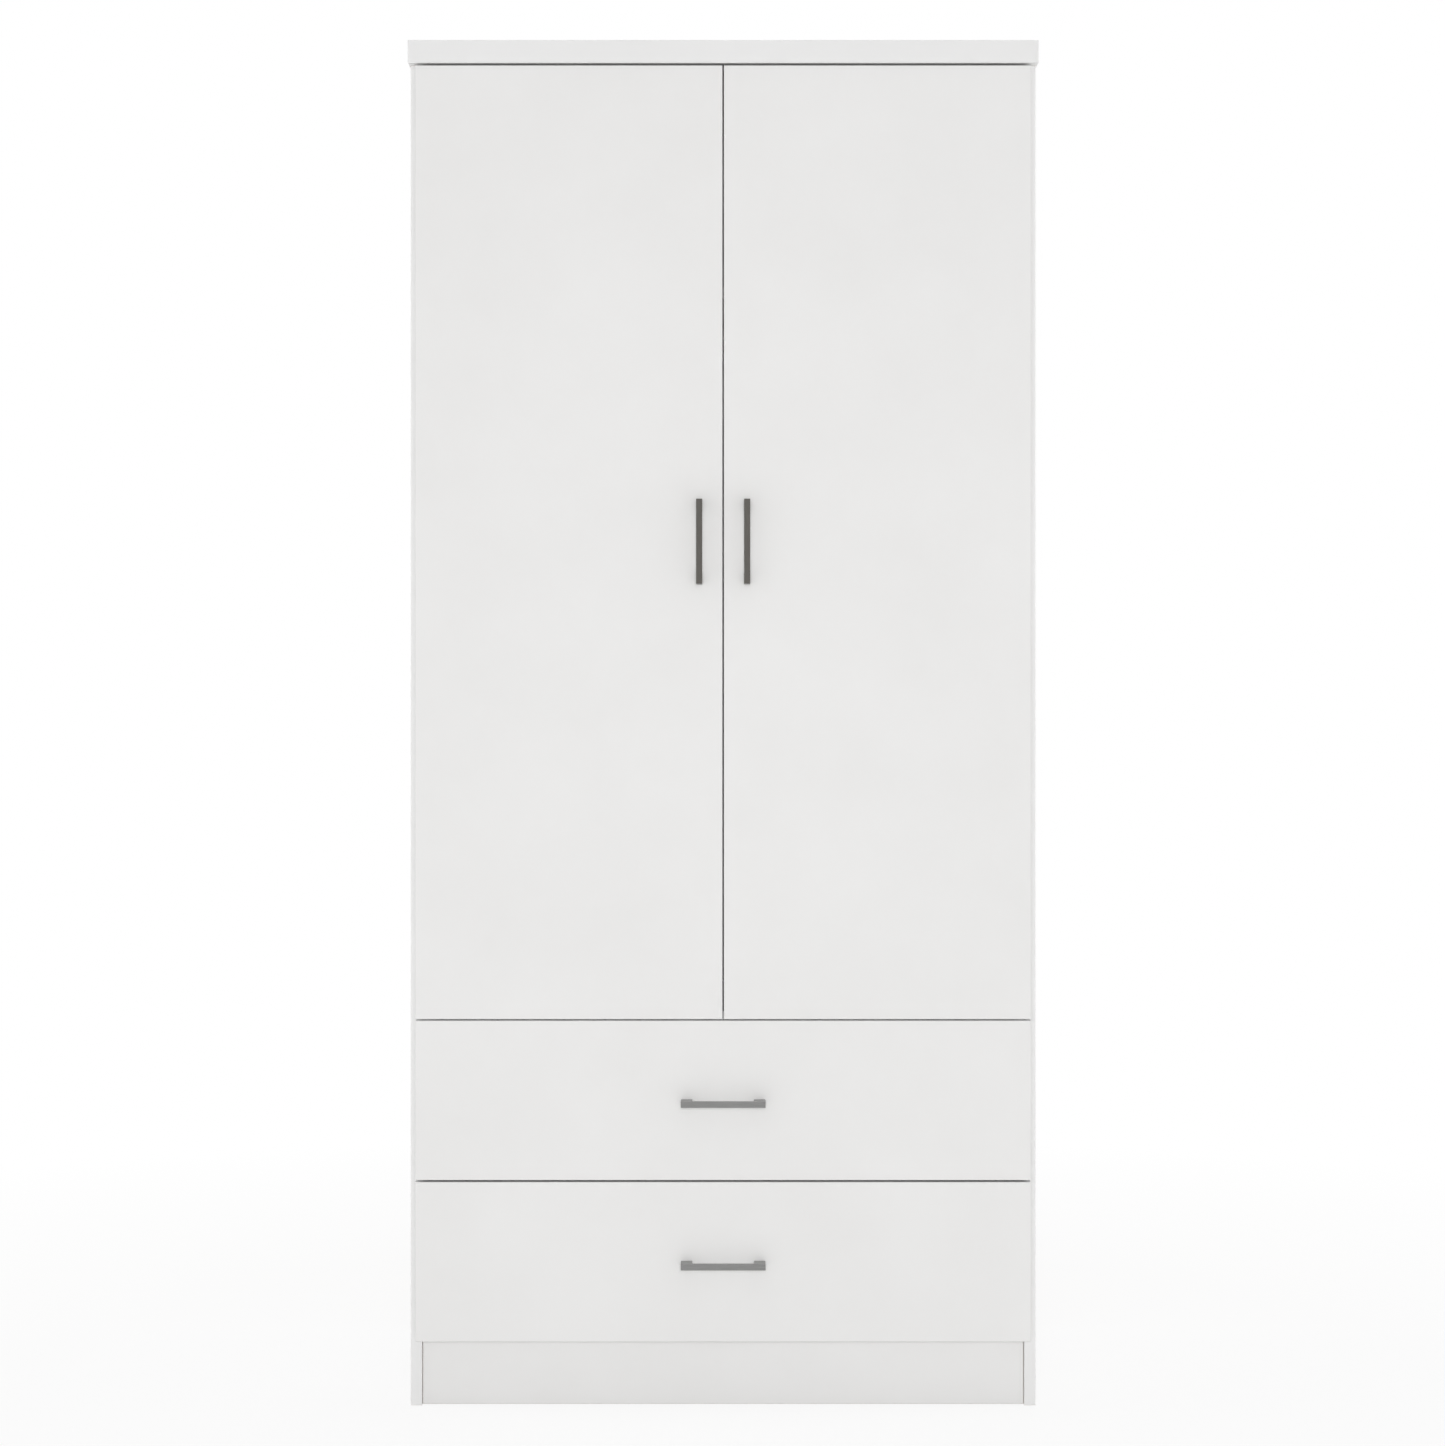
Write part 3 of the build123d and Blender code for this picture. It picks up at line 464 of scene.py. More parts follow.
@dataclass(frozen=True)
class Hardboard:
    """Thin pressed fibre board: brown and rough, with one face painted white."""

    node: str
    painted: Face
    fibre: Colour = (0.365, 0.232, 0.132)
    pith: Colour = (0.248, 0.146, 0.078)
    paint: Colour = (0.765, 0.760, 0.748)
    thin_paint: Colour = (0.735, 0.728, 0.712)
    paint_depth: float = 0.0002
    paint_sheen: float = 0.32
    roller: Grain = (30.0, 3.0)
    roller_cover: Pair = (0.965, 1.0)
    cloud: Grain = (5.0, 5.0)
    cloud_warp: float = 0.6
    cloud_share: float = 0.22
    strand: Grain = (420.0, 4.0)
    strand_warp: float = 1.5
    strand_share: float = 0.78
    strand_rise: float = 0.00006
    strand_rough: Pair = (0.74, 0.88)
    dust: Grain = (700.0, 2.0)
    dust_rise: float = 0.00003

    def make(self) -> bpy.types.Material:
        """Build the material for this sheet's own box.

        Returns:
            The material.
        """
        axis, end = self.painted.plane(*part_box(self.node))
        shader = Shader("hardboard_" + self.node)
        white = shader.math("COMPARE", shader.along(axis), end, self.paint_depth)
        cloud = shader.marks(self.cloud, warp=self.cloud_warp)
        strands = shader.marks(self.strand, warp=self.strand_warp)
        fibres = shader.math("MULTIPLY", strands, self.strand_share)
        fibres = shader.math("MULTIPLY_ADD", cloud, self.cloud_share, fibres)
        brown = shader.blend(fibres, self.pith, self.fibre)
        cover = shader.span(shader.noise(self.roller), self.roller_cover)
        colour = shader.blend(white, brown, shader.blend(cover, self.thin_paint, self.paint))
        rough = shader.span(strands, self.strand_rough, UNIT)
        rough = shader.math("MULTIPLY_ADD", white, -self.paint_sheen, rough)
        relief = shader.bump(strands, self.strand_rise)
        relief = shader.bump(shader.noise(self.dust), self.dust_rise, relief)
        shader.set(Base_Color=colour, Roughness=rough, Normal=relief)
        return shader.material


@dataclass(frozen=True)
class Metal:
    """Metal with a grain: brushed along one axis, or mottled as plated and cast pieces are."""

    name: str
    bright: Colour
    dull: Colour
    rough: float
    spread: float = 0.08
    brush: Optional[Axis] = None
    metallic: float = 1.0
    rise: float = 0.000004
    mottle: Grain = (420.0, 4.0)
    blotch: Grain = (46.667, 3.0)
    blotch_warp: float = 0.5
    hairline: Grain = (4200.0, 2.0)
    hairline_draw: float = 0.02
    streak: Grain = (700.0, 3.0)
    streak_draw: float = 0.10
    grain_share: float = 0.6
    worn_share: float = 0.4

    def drawn(self, factor: float) -> Triple:
        """Factors that draw a pattern out along the brushing."""
        x, y, z = (factor if axis is self.brush else 1.0 for axis in Axis)
        return x, y, z

    def make(self) -> bpy.types.Material:
        """Build the material.

        Returns:
            The material.
        """
        shader = Shader(self.name)
        if self.brush is None:
            grain = shader.marks(self.mottle)
            worn = shader.marks(self.blotch, warp=self.blotch_warp)
        else:
            grain = shader.marks(self.hairline, self.drawn(self.hairline_draw))
            worn = shader.marks(self.streak, self.drawn(self.streak_draw))
        wear = shader.math("MULTIPLY", worn, self.worn_share)
        mark = shader.math("MULTIPLY_ADD", grain, self.grain_share, wear)
        gloss = shader.span(worn, (self.rough + self.spread, self.rough - self.spread), UNIT)
        shader.set(Base_Color=shader.blend(mark, self.dull, self.bright), Roughness=gloss)
        shader.set(Normal=shader.bump(grain, self.rise), Metallic=self.metallic)
        return shader.material


@dataclass(frozen=True)
class Plastic:
    """Moulded or coated surface: a plain colour with slight clouding and a fine skin."""

    name: str
    bright: Colour
    dull: Colour
    rough: float
    clear: float = 0.0
    haze: float = 0.05
    cloud: Grain = (43.333, 3.0)
    skin: Grain = (1040.0, 2.0)
    skin_rise: float = 0.00001

    def make(self) -> bpy.types.Material:
        """Build the material.

        Returns:
            The material.
        """
        shader = Shader(self.name)
        cloud = shader.marks(self.cloud)
        relief = shader.bump(shader.noise(self.skin), self.skin_rise)
        gloss = shader.span(cloud, (self.rough - self.haze, self.rough + self.haze), UNIT)
        shader.set(Base_Color=shader.blend(cloud, self.dull, self.bright), Roughness=gloss)
        shader.set(Normal=relief, Transmission_Weight=self.clear)
        return shader.material


@dataclass(frozen=True)
class Beech:
    """Pale turned wood with short dark flecks."""

    name: str = "beech"
    pale: Colour = (0.66, 0.47, 0.30)
    dark: Colour = (0.52, 0.34, 0.20)
    grain: Grain = (900.0, 3.0)
    grain_draw: Triple = (0.12, 1.0, 0.12)
    grain_rise: float = 0.00003
    rough: Pair = (0.62, 0.74)
    fleck: Colour = (0.34, 0.19, 0.10)
    fleck_share: float = 0.5
    fleck_grain: Grain = (2200.0, 2.0)
    fleck_draw: Triple = (0.2, 1.0, 0.2)
    fleck_range: Pair = (0.6, 0.75)

    def make(self) -> bpy.types.Material:
        """Build the material.

        Returns:
            The material.
        """
        shader = Shader(self.name)
        grain = shader.marks(self.grain, self.grain_draw)
        flecks = shader.span(shader.noise(self.fleck_grain, self.fleck_draw), UNIT, self.fleck_range)
        colour = shader.blend(grain, self.dark, self.pale)
        colour = shader.tint(colour, flecks, self.fleck_share, self.fleck)
        rough = shader.span(grain, self.rough, UNIT)
        shader.set(Base_Color=colour, Roughness=rough, Normal=shader.bump(grain, self.grain_rise))
        return shader.material


def verts_in(items: Iterable[object]) -> list[bmesh.types.BMVert]:
    """The vertices among an operator's results."""
    return [item for item in items if isinstance(item, bmesh.types.BMVert)]


def edges_in(items: Iterable[object]) -> list[bmesh.types.BMEdge]:
    """The edges among an operator's results."""
    return [item for item in items if isinstance(item, bmesh.types.BMEdge)]


class Shape:
    """A small mesh made once round the origin, then set in many places."""

    def __init__(self) -> None:
        """Start with an empty mesh."""
        self.bm = bmesh.new()

    def lathe(self, outline: Outline, steps: int = 24) -> "Shape":
        """Turn an outline round the Z axis.

        Args:
            outline: Pairs of radius and height, in order along the outline.
            steps: Facets of the full turn.

        Returns:
            The shape itself.
        """
        verts = [self.bm.verts.new((radius, 0.0, height)) for radius, height in outline]
        edges = [self.bm.edges.new(pair) for pair in zip(verts, verts[1:])]
        bmesh.ops.spin(self.bm, geom=verts + edges, cent=(0.0, 0.0, 0.0), axis=Axis.Z.way,
                       angle=2 * pi, steps=steps, use_merge=True)
        return self.merge().outward()

    def block(self, low: Triple, high: Triple) -> "Shape":
        """Add a box between two corners, to be cut and eased.

        Args:
            low: Lowest corner.
            high: Highest corner.

        Returns:
            The shape itself.
        """
        start, end = Vector(low), Vector(high)
        size = Matrix.Diagonal((*(end - start), 1.0))
        bmesh.ops.create_cube(self.bm, size=1.0, matrix=Matrix.Translation((start + end) / 2) @ size)
        return self

    def slice(self, point: Triple, normal: Triple) -> "Shape":
        """Cut off everything past a plane and close the cut.

        Args:
            point: Point on the plane.
            normal: Direction of what is cut off.

        Returns:
            The shape itself.
        """
        everything = [*self.bm.verts, *self.bm.edges, *self.bm.faces]
        cut = bmesh.ops.bisect_plane(self.bm, geom=everything, plane_co=point, plane_no=normal,
                                     clear_outer=True)
        bmesh.ops.edgeloop_fill(self.bm, edges=edges_in(cut["geom_cut"]))
        return self.outward()

    def round_off(self, geom: Sequence[object], width: float, segments: int,
                  what: Soften = Soften.EDGES) -> "Shape":
        """Bevel some edges or corners.

        Args:
            geom: The edges, or the vertices of the corners.
            width: Width of the rounding.
            segments: Steps of the rounding.
            what: Whether edges or corners are rounded.

        Returns:
            The shape itself.
        """
        bmesh.ops.bevel(self.bm, geom=geom, offset=width, affect=what.value, segments=segments,
                        profile=0.5, material=-1)
        return self

    def ease(self, width: float, segments: int = 3) -> "Shape":
        """Round every edge that is not flat.

        Args:
            width: Width of the rounding.
            segments: Steps of the rounding.

        Returns:
            The shape itself.
        """
        sharp = [edge for edge in self.bm.edges if edge.calc_face_angle(0.0) > BENT]
        return self.round_off(sharp, width, segments)

    def merge(self) -> "Shape":
        """Join vertices that lie on each other."""
        bmesh.ops.remove_doubles(self.bm, verts=self.bm.verts, dist=MERGE)
        return self

    def outward(self) -> "Shape":
        """Turn every face outwards."""
        bmesh.ops.recalc_face_normals(self.bm, faces=self.bm.faces)
        return self

    def ring(self, edges: list[bmesh.types.BMEdge], scale: float,
             rise: float) -> list[bmesh.types.BMEdge]:
        """Draw a loop of edges on to a new loop.

        Args:
            edges: The loop to draw from.
            scale: Factor on its radius.
            rise: Move along the Z axis.

        Returns:
            The new loop's edges.
        """
        made = bmesh.ops.extrude_edge_only(self.bm, edges=edges)["geom"]
        verts = verts_in(made)
        bmesh.ops.scale(self.bm, vec=(scale, scale, 1.0), verts=verts)
        bmesh.ops.translate(self.bm, vec=(0.0, 0.0, rise), verts=verts)
        fresh = set(verts)
        return [edge for edge in edges_in(made) if set(edge.verts) <= fresh]

    def mesh(self) -> bpy.types.Mesh:
        """Finished mesh data, to be set by a piece."""
        data = bpy.data.meshes.new("shape")
        self.bm.to_mesh(data)
        self.bm.free()
        return data


@dataclass(frozen=True)
class Screw:
    """Cross-headed screw along +Z: the head's underside is at zero and the shank goes down.

    The head's outline is in shares of its radius and height, from the crown down.
    """

    head_radius: float
    head_height: float
    shank_radius: float
    length: float
    sides: int = 24
    outline: Outline = ((0.72, 0.94), (0.90, 0.70), (1.0, 0.32), (0.98, 0.0))
    tip_start: float = 0.8
    tip: float = 0.15
    cross: float = 0.56
    cross_floor: float = 0.6
    cross_depth: float = 0.75

    def make(self) -> bpy.types.Mesh:
        """Build the screw.

        Returns:
            The screw's mesh.
        """
        shape = Shape()
        bm = shape.bm
        recess = self.start_cross(bm)
        rim = [edge for edge in bm.edges if edge.is_boundary]
        (radius, height), *below = self.profile()
        place = Matrix.Translation((0.0, 0.0, height)) @ Matrix.Rotation(pi / self.sides, 4, "Z")
        crown = bmesh.ops.create_circle(bm, cap_ends=False, radius=radius, segments=self.sides,
                                        matrix=place)["verts"]
        loop = list(dict.fromkeys(edge for vert in crown for edge in vert.link_edges))
        bmesh.ops.bridge_loops(bm, edges=rim + loop)
        for wide, high in below:
            loop = shape.ring(loop, wide / radius, high - height)
            radius, height = wide, high
        bmesh.ops.edgeloop_fill(bm, edges=loop)
        sunk = verts_in(bmesh.ops.extrude_face_region(bm, geom=recess)["geom"])
        bmesh.ops.delete(bm, geom=recess, context="FACES")
        bmesh.ops.scale(bm, vec=(self.cross_floor, self.cross_floor, 1.0), verts=sunk)
        bmesh.ops.translate(bm, vec=(0.0, 0.0, -self.cross_depth * self.head_height), verts=sunk)
        return shape.outward().mesh()

    def profile(self) -> list[Pair]:
        """Radii and heights of the head, the shank and its tip, from the crown down."""
        head = [(wide * self.head_radius, high * self.head_height) for wide, high in self.outline]
        shank = [(self.shank_radius, 0.0), (self.shank_radius, -self.length * self.tip_start)]
        return [*head, *shank, (self.tip * self.shank_radius, -self.length)]

    def start_cross(self, bm: bmesh.types.BMesh) -> list[bmesh.types.BMFace]:
        """Flat cross on the crown, where the recess goes in.

        Args:
            bm: Mesh of the screw, still empty.

        Returns:
            The cross's faces.
        """
        reach = self.head_radius * self.cross
        bmesh.ops.create_grid(bm, x_segments=3, y_segments=3, size=reach,
                              matrix=Matrix.Translation((0.0, 0.0, self.head_height)))
        corners = [face for face in bm.faces
                   if min(map(abs, face.calc_center_median()[:2])) > reach / 3]
        bmesh.ops.delete(bm, geom=corners, context="FACES")
        rim = [edge for edge in bm.edges if edge.is_boundary]
        bmesh.ops.subdivide_edges(bm, edges=rim, cuts=1)
        return list(bm.faces)


class Piece:
    """A new piece of the wardrobe, put together from set shapes."""

    def __init__(self, name: str) -> None:
        """Start an empty piece.

        Args:
            name: Name of the piece's object.
        """
        self.name = name
        self.bm = bmesh.new()

    def put(self, shape: bpy.types.Mesh, place: Matrix) -> None:
        """Set one copy of a shape.

        Args:
            shape: Mesh made round the origin.
            place: Where it goes, as a matrix; a mirroring one is allowed.
        """
        verts, faces = len(self.bm.verts), len(self.bm.faces)
        self.bm.from_mesh(shape)
        self.bm.verts.ensure_lookup_table()
        self.bm.faces.ensure_lookup_table()
        bmesh.ops.transform(self.bm, matrix=place, verts=self.bm.verts[verts:])
        if place.determinant() < 0.0:
            bmesh.ops.reverse_faces(self.bm, faces=self.bm.faces[faces:])

    def finish(self, material: bpy.types.Material, body: str, slot: Slot, stands_for: str = "") -> None:
        """Turn the piece into an object that rides on a body.

        Args:
            material: Its finish.
            body: CAD body that carries it.
            slot: Material slot of the record; not used.
            stands_for: CAD node that it replaces, if any.
        """
        mesh = bpy.data.meshes.new(self.name)
        self.bm.to_mesh(mesh)
        self.bm.free()
        mesh.shade_smooth()
        mesh.set_sharp_from_angle(angle=SHARP)
        mesh.materials.append(material)
        piece = bpy.data.objects.new(self.name, mesh)
        bpy.context.scene.collection.objects.link(piece)
        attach(piece, body)
        if stands_for:
            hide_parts(stands_for)
        LOG.info("built %s, %d faces, on %s", self.name, len(mesh.polygons), body)


def facing(point: Union[Vector, Triple], way: Vector) -> Matrix:
    """Place at a point with +Z turned to a direction.

    Args:
        point: Where the origin goes.
        way: Where +Z goes.

    Returns:
        The place as a matrix.
    """
    return Matrix.Translation(point) @ way.to_track_quat("Z", "Y").to_matrix().to_4x4()


@dataclass
class Finishes:
    """The wardrobe's shared finishes, each built once."""

    zinc: bpy.types.Material = field(init=False)
    casting: bpy.types.Material = field(init=False)
    rail: bpy.types.Material = field(init=False)
    socket: bpy.types.Material = field(init=False)
    upright_grip_painted_shade: bpy.types.Material = field(init=False)
    level_grip_painted_light: bpy.types.Material = field(init=False)
    coated: bpy.types.Material = field(init=False)
    nylon: bpy.types.Material = field(init=False)
    pad: bpy.types.Material = field(init=False)
    plastic: bpy.types.Material = field(init=False)
    beech: bpy.types.Material = field(init=False)

    def __post_init__(self) -> None:
        """Build every shared material."""
        self.make_steel()
        self.make_grips()
        self.make_soft()

    def make_steel(self) -> None:
        """Plated steel, cast zinc and chrome."""
        self.zinc = Metal("zinc_plate", bright=(0.66, 0.665, 0.67), dull=(0.47, 0.475, 0.485),
                          rough=0.30).make()
        self.casting = Metal("zinc_casting", bright=(0.58, 0.58, 0.585), dull=(0.36, 0.36, 0.37),
                             rough=0.44, spread=0.06, rise=0.00002, mottle=(900.0, 4.0),
                             blotch=(100.0, 3.0)).make()
        self.rail = Metal("chrome_tube", bright=(0.84, 0.845, 0.85), dull=(0.74, 0.745, 0.755),
                          rough=0.13, spread=0.04, brush=Axis.X).make()
        self.socket = Metal("chrome_casting", bright=(0.80, 0.805, 0.81), dull=(0.66, 0.665, 0.675),
                            rough=0.2, spread=0.05).make()

    def make_grips(self) -> None:
        """Satin metal of the handles, brushed along their bars: two copies of one metal, the door
        handles' copy darker as painted shade and the drawer handles' copy lighter as painted light.
        """
        # Door handles: the same satin metal given a darker colour, painted shade for the darker
        # surroundings they reflect.
        self.upright_grip_painted_shade = Metal("satin_upright_painted_shade", bright=(0.134, 0.1255, 0.1135),
                                  dull=(0.1005, 0.0945, 0.086), rough=0.38, spread=0.05,
                                  brush=Axis.Z, metallic=0.55).make()
        # Drawer handles: the same satin metal given a lighter colour, painted light for the brighter
        # surroundings they reflect.
        self.level_grip_painted_light = Metal("satin_level_painted_light", bright=(0.276, 0.276, 0.271),
                                dull=(0.2235, 0.223, 0.220), rough=0.38, spread=0.05,
                                brush=Axis.X, metallic=0.55).make()

    def make_soft(self) -> None:
        """Coated steel, plastics and the wood of the dowels."""
        self.coated = Plastic("coated_steel", bright=(0.79, 0.79, 0.785), dull=(0.75, 0.748, 0.74),
                              rough=0.34).make()
        self.nylon = Plastic("nylon", bright=(0.80, 0.795, 0.775), dull=(0.74, 0.73, 0.70),
                             rough=0.46).make()
        self.pad = Plastic("soft_pad", bright=(0.80, 0.80, 0.79), dull=(0.70, 0.70, 0.685),
                           rough=0.30, clear=0.35).make()
        self.plastic = Plastic("white_plastic", bright=(0.80, 0.80, 0.795), dull=(0.765, 0.763, 0.755),
                               rough=0.40).make()
        self.beech = Beech().make()


def dress(node: str, material: bpy.types.Material) -> None:
    """Give a CAD node a finish through its material slots.

    Args:
        node: Name of the CAD node.
        material: Its finish.
    """
    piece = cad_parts[node]
    if not piece.material_slots:
        piece.data.materials.append(material)
    for slot in piece.material_slots:
        slot.material = material
    LOG.info("dressed %s in %s", node, material.name)


@dataclass
class Layout:
    """Places that the pieces share, read from the CAD boxes."""

    panel_in: float = field(init=False)
    panel_edge: float = field(init=False)
    hinge_heights: tuple[float, ...] = field(init=False)
    hinge_inset: float = 0.100

    def __post_init__(self) -> None:
        """Read the boxes of the side panel and the door."""
        panel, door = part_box("right_side_panel"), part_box("right_door")
        self.panel_in, self.panel_edge = panel[0].x, panel[0].y
        low, high = door[0].z + self.hinge_inset, door[1].z - self.hinge_inset
        self.hinge_heights = (low, (low + high) / 2, high)

    def beside(self, side: Side, height: float) -> Matrix:
        """Place by a side panel's front inner edge.

        Args:
            side: Which side panel.
            height: Height over the floor.

        Returns:
            Matrix with X into the wardrobe, Y to the front and Z up.
        """
        corner = Matrix.Translation((side.value * self.panel_in, self.panel_edge, height))
        return corner @ Matrix.Diagonal((-side.value, -1.0, 1.0, 1.0))


@dataclass
class Hinges:
    """Cup hinges: bent arms, adjusting screws, and the screws of the cups.

    Places are from a side panel's front inner edge: into the wardrobe, then forward. A cup screw's
    third number is how far over or under the hinge's middle it sits.
    """

    finishes: Finishes
    layout: Layout
    sheet: float = 0.0016
    web: float = 0.0118
    foot: float = 0.0030
    length: float = 0.060
    shoulder: float = 0.012
    half_wide: float = 0.0070
    half_slim: float = 0.0040
    corner: float = 0.0035
    corner_steps: int = 5
    crease: float = 0.0012
    crease_steps: int = 3
    bend: float = 0.0030
    bend_steps: int = 6
    pin_in: float = -0.0009
    pin_forward: float = 0.0118
    pin_room: float = 0.0013
    knuckle: float = 0.0019
    knuckle_ease: float = 0.0002
    knuckle_steps: int = 20
    tuck: float = 0.85
    small_screw: Screw = Screw(head_radius=0.0028, head_height=0.0013, shank_radius=0.0015, length=0.004)
    large_screw: Screw = Screw(head_radius=0.0036, head_height=0.0015, shank_radius=0.0020, length=0.004)
    setbacks: Pair = (-0.026, -0.046)
    cup_screw: Screw = Screw(head_radius=0.0036, head_height=0.0016, shank_radius=0.0020, length=0.004)
    cup_screw_place: Triple = (0.019, 0.0018, 0.024)

    def arm(self) -> bpy.types.Mesh:
        """Sheet arm: a channel over the mounting plate and a neck bent into the cup.

        Returns:
            The arm's mesh, by a side panel's front inner edge.
        """
        shape = Shape()
        bm = shape.bm
        turn_at = self.pin_forward + self.sheet / 2 - self.bend
        self.start_channel(shape, turn_at)
        nose = [edge for edge in bm.edges if min(vert.co.y for vert in edge.verts) > turn_at - HAIR]
        bent = bmesh.ops.spin(bm, geom=nose, cent=(self.web - self.bend, turn_at, 0.0),
                              axis=Axis.Z.way, angle=pi / 2, steps=self.bend_steps)["geom_last"]
        leg = bmesh.ops.extrude_edge_only(bm, edges=edges_in(bent))["geom"]
        reach = self.pin_in + self.knuckle * self.tuck - (self.web - self.bend)
        bmesh.ops.translate(bm, vec=(reach, 0.0, 0.0), verts=verts_in(leg))
        shape.merge().outward()
        plate = max(bm.faces, key=lambda face: face.calc_area())
        if plate.normal.x < 0.0:
            bmesh.ops.reverse_faces(bm, faces=bm.faces)
        bmesh.ops.solidify(bm, geom=bm.faces, thickness=self.sheet)
        return shape.mesh()

    def start_channel(self, shape: Shape, turn_at: float) -> None:
        """Flat sheet of an arm, with the walls of its channel folded down.

        Args:
            shape: Shape of the arm, still empty.
            turn_at: How far forward the sheet runs before its bend.
        """
        bm = shape.bm
        half = [(-self.length, self.half_wide), (-self.shoulder, self.half_wide)]
        half += [(0.0, self.half_slim), (turn_at, self.half_slim)]
        outline = [*half, *((y, -z) for y, z in reversed(half))]
        verts = [bm.verts.new((self.web, y, z)) for y, z in outline]
        bm.faces.new(verts)
        shape.round_off([verts[0], verts[-1]], self.corner, self.corner_steps, Soften.CORNERS)
        hems = [edge for edge in bm.edges
                if max(vert.co.y for vert in edge.verts) < HAIR - self.shoulder]
        walls = bmesh.ops.extrude_edge_only(bm, edges=hems)["geom"]
        bmesh.ops.translate(bm, vec=(self.foot - self.web, 0.0, 0.0), verts=verts_in(walls))
        shape.round_off(hems, self.crease, self.crease_steps)

    def curl(self) -> bpy.types.Mesh:
        """Rolled end of an arm that turns on the pin.

        Returns:
            The knuckle's mesh, round the Z axis.
        """
        half, ease = self.half_slim, self.knuckle_ease
        ring = [(self.pin_room, -half), (self.knuckle - ease, -half), (self.knuckle, ease - half)]
        ring += [(radius, -height) for radius, height in reversed(ring)]
        return Shape().lathe([*ring, ring[0]], self.knuckle_steps).mesh()

    def build(self) -> None:
        """Arms and adjusting screws on the carcass."""
        arms, adjusters = Piece("formed_hinge_arms"), Piece("hinge_adjusters")
        arm, curl = self.arm(), self.curl()
        screws = (self.small_screw.make(), self.large_screw.make())
        for side in Side:
            for height in self.layout.hinge_heights:
                place = self.layout.beside(side, height)
                arms.put(arm, place)
                arms.put(curl, place @ Matrix.Translation((self.pin_in, self.pin_forward, 0.0)))
                for screw, setback in zip(screws, self.setbacks):
                    adjusters.put(screw, place @ facing((self.web, setback, 0.0), Axis.X.way))
        arms.finish(self.finishes.zinc, "carcass", Slot.ZINC, "hinge_arms")
        adjusters.finish(self.finishes.zinc, "carcass", Slot.ZINC)

    def build_cup_screws(self, side: Side) -> None:
        """Two screws in the flange of each cup of one door.

        Args:
            side: Which door.
        """
        piece = Piece(side.label + "_cup_screws")
        screw = self.cup_screw.make()
        across, forward, step = self.cup_screw_place
        for height in self.layout.hinge_heights:
            for rise in (-step, step):
                place = self.layout.beside(side, height + rise)
                piece.put(screw, place @ facing((across, forward, 0.0), -Axis.Y.way))
        piece.finish(self.finishes.zinc, side.label + "_door", Slot.ZINC)


